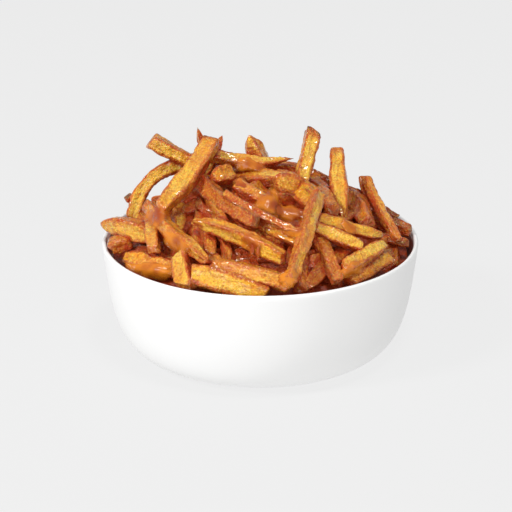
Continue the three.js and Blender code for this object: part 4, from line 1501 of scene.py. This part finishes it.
def glaze_finish(colours):
    """White glaze, a little uneven in its sheen, with painted shade in a band round the inside of the
    wall.
    """
    finish = Finish("glazed_white")
    place = finish.place()
    across, depth, height = finish.parts(place)
    cloud = finish.noise(place, *GLAZE_CLOUD)
    fine = finish.noise(place, *GLAZE_FINE)
    waver = finish.noise(place, *WALL_SHADE_NOISE) * WALL_SHADE_WAVER
    squared = across * across + depth * depth
    inside = finish.eased(squared * -1, -(WALL_SHADE_OUTSIDE**2), -(WALL_SHADE_INSIDE**2))
    started = finish.eased(height + waver, *WALL_SHADE_FOOT)
    ended = finish.eased(height * -1 + waver, -WALL_SHADE_TOP, WALL_SHADE_FADE - WALL_SHADE_TOP)
    white = finish.mixed(cloud, colours.glaze, shaded(colours.glaze, 0.975))
    # painted shade: a dark band round the inside of the wall, next to the food
    wall_shade = shaded(colours.sauce_shade, WALL_SHADE_DARKNESS)
    finish.surface(
        base_color=finish.mixed(inside * started * ended * WALL_SHADE_STRENGTH, white, wall_shade),
        roughness=0.26 + cloud * 0.1,
        normal=finish.bumped(cloud * 0.7 + fine * 0.3, 0.05, 0.001),
    )
    return finish.material


def floor_finish(colours):
    """An even pale floor that lights itself a little, so that shadows on it stay faint."""
    finish = Finish("pale_floor")
    finish.surface(base_color=(*shaded(colours.floor, FLOOR_REFLECTS), 1), roughness=1.0)
    finish.surface(emission_color=(*colours.floor, 1), emission_strength=FLOOR_GLOW)
    finish.steady({"Specular IOR Level": 0.0})
    return finish.material


class DISH_OT_bowl(bpy.types.Operator):
    """Makes the white bowl"""

    bl_idname = "dish.bowl"
    bl_label = "Bowl"

    def execute(self, context):
        profile = bowl_profile(context.scene.dish_sizes)
        piece = new_piece("bowl_white", *turned_surface(profile, BOWL_SIDES))
        piece.data.materials.append(glaze_finish(context.scene.dish_colours))
        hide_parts("bowl")
        return {"FINISHED"}


class DISH_OT_core(bpy.types.Operator):
    """Makes the dark mass under the fries"""

    bl_idname = "dish.core"
    bl_label = "Core"

    def execute(self, context):
        sizes = context.scene.dish_sizes
        vertices, quads, fans = turned_surface(core_profile(sizes), CORE_SIDES)
        start, full = CORE_RELIEF_START
        inside = smooth(vertices[:, 2], CORE_WALL_LEVEL + start, CORE_WALL_LEVEL + full)
        vertices[:, 2] += noise_sum(vertices, CORE_LUMPS) * CORE_RELIEF * inside
        piece = new_piece("core_dark", keep_in_bowl(vertices, sizes), quads, fans)
        piece.data.materials.append(core_finish(context.scene.dish_colours))
        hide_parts("fries")
        return {"FINISHED"}


class DISH_OT_fries(bpy.types.Operator):
    """Makes all the fries, one mesh for each kind"""

    bl_idname = "dish.fries"
    bl_label = "Fries"

    def execute(self, context):
        material = potato_finish(context.scene.dish_colours)
        fries = upper_fries() + under_fries()
        for seed, (kind, grid) in enumerate(FRY_KINDS, 1):
            chosen = [fry for fry in fries if fry.kind == kind]
            piece = fries_piece("fries_" + kind, chosen, grid, context.scene.dish_sizes, seed)
            piece.data.materials.append(material)
        return {"FINISHED"}


class DISH_OT_sauce(bpy.types.Operator):
    """Pours the sauce over the fries, wets them under it and paints shade on them in the gaps"""

    bl_idname = "dish.sauce"
    bl_label = "Sauce"

    def execute(self, context):
        fries = [piece for piece in context.scene.objects if piece.name.startswith("fries_")]
        cloud = np.concatenate([vertices_of(piece) for piece in fries])
        back = np.concatenate([vertices_of(piece) for piece in fries if piece.name in BACK_PIECES])
        places = sauce_places(cloud, back)
        sizes = context.scene.dish_sizes
        vertices, quads, fans, thick = poured_sauce(places, cloud, sizes)
        sauce = new_piece("sauce_poured", vertices, quads, fans)
        paint(sauce, "thick", thick)
        sauce.data.materials.append(sauce_finish(context.scene.dish_colours))
        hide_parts("fries")
        filled = filled_cells(cloud)
        for piece in fries:
            points = vertices_of(piece)
            repaint(piece, "wet", np.max([wet_share(points, place) for place in places], axis=0))
            # painted shade in the gaps, deep in the heap and underneath
            repaint(piece, "closed", closed_share(points, normals_of(piece), filled))
        return {"FINISHED"}


def area_light(name, place, size, power):
    """A square soft light aimed at the dish."""
    light = bpy.data.lights.new(name, "AREA")
    light.size = size
    light.energy = power
    lamp = bpy.data.objects.new(name, light)
    lamp.location = place
    lamp.rotation_euler = (Vector(LIT_POINT) - Vector(place)).to_track_quat("-Z", "Y").to_euler()
    bpy.context.scene.collection.objects.link(lamp)


class DISH_OT_stage(bpy.types.Operator):
    """Makes the floor, the lights and the camera"""

    bl_idname = "dish.stage"
    bl_label = "Stage"

    def execute(self, context):
        self.floor(context)
        world = bpy.data.worlds.new("studio")
        world.use_nodes = True
        background = world.node_tree.nodes["Background"]
        background.inputs["Color"].default_value = (1.0, 1.0, 1.0, 1)
        background.inputs["Strength"].default_value = WORLD_GLOW
        context.scene.world = world
        for light in LIGHTS:
            area_light(*light)
        self.camera(context)
        context.scene.view_settings.view_transform = "Standard"
        context.scene.view_settings.look = "None"
        return {"FINISHED"}

    def floor(self, context):
        """A large square floor at the level that the bowl stands on."""
        mesh = bpy.data.meshes.new("floor")
        far = FLOOR_REACH
        corners = [(-far, -far, 0), (far, -far, 0), (far, far, 0), (-far, far, 0)]
        mesh.from_pydata(corners, [], [(0, 1, 2, 3)])
        mesh.materials.append(floor_finish(context.scene.dish_colours))
        floor = bpy.data.objects.new("floor", mesh)
        context.scene.collection.objects.link(floor)

    def camera(self, context):
        """A camera on the sight line, turned so that the sight point lands on its pixel."""
        camera = bpy.data.cameras.new("camera")
        pixels = PIXELS_PER_METRE * SIGHT_DISTANCE
        camera.sensor_width = SENSOR_WIDTH
        camera.lens = pixels * SENSOR_WIDTH / PICTURE_SIZE
        camera.clip_start, camera.clip_end = CLIP_RANGE
        right, down = ((pixel - PICTURE_SIZE / 2) / pixels for pixel in SIGHT_PIXEL)
        ahead = -TO_EYE - np.array([1.0, 0, 0]) * right + SIGHT_UP * down
        holder = bpy.data.objects.new("camera", camera)
        holder.location = SIGHT_POINT + TO_EYE * SIGHT_DISTANCE
        holder.rotation_euler = Vector(ahead).to_track_quat("-Z", "Y").to_euler()
        context.scene.collection.objects.link(holder)
        context.scene.camera = holder


class DISH_PT_panel(bpy.types.Panel):
    """Lists the dish's sizes, colours and pieces"""

    bl_idname = "DISH_PT_panel"
    bl_label = "Dish of French Fries"
    bl_space_type = "VIEW_3D"
    bl_region_type = "UI"
    bl_category = "Dish"

    def draw(self, context):
        layout = self.layout
        for group in (context.scene.dish_sizes, context.scene.dish_colours):
            for name in group.__annotations__:
                layout.prop(group, name)
        for operator in OPERATORS:
            layout.operator(operator.bl_idname)


OPERATORS = (DISH_OT_bowl, DISH_OT_core, DISH_OT_fries, DISH_OT_sauce, DISH_OT_stage)
CLASSES = (DishSizes, DishColours, *OPERATORS, DISH_PT_panel)


def register():
    """Adds the classes and the scene's settings."""
    for each in CLASSES:
        bpy.utils.register_class(each)
    bpy.types.Scene.dish_sizes = bpy.props.PointerProperty(type=DishSizes)
    bpy.types.Scene.dish_colours = bpy.props.PointerProperty(type=DishColours)


def unregister():
    """Takes the settings and the classes away again."""
    del bpy.types.Scene.dish_colours
    del bpy.types.Scene.dish_sizes
    for each in reversed(CLASSES):
        bpy.utils.unregister_class(each)


def main():
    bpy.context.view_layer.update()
    register()
    bpy.ops.dish.bowl()
    bpy.ops.dish.core()
    bpy.ops.dish.fries()
    bpy.ops.dish.sauce()
    bpy.ops.dish.stage()


if __name__ == "__main__":
    main()
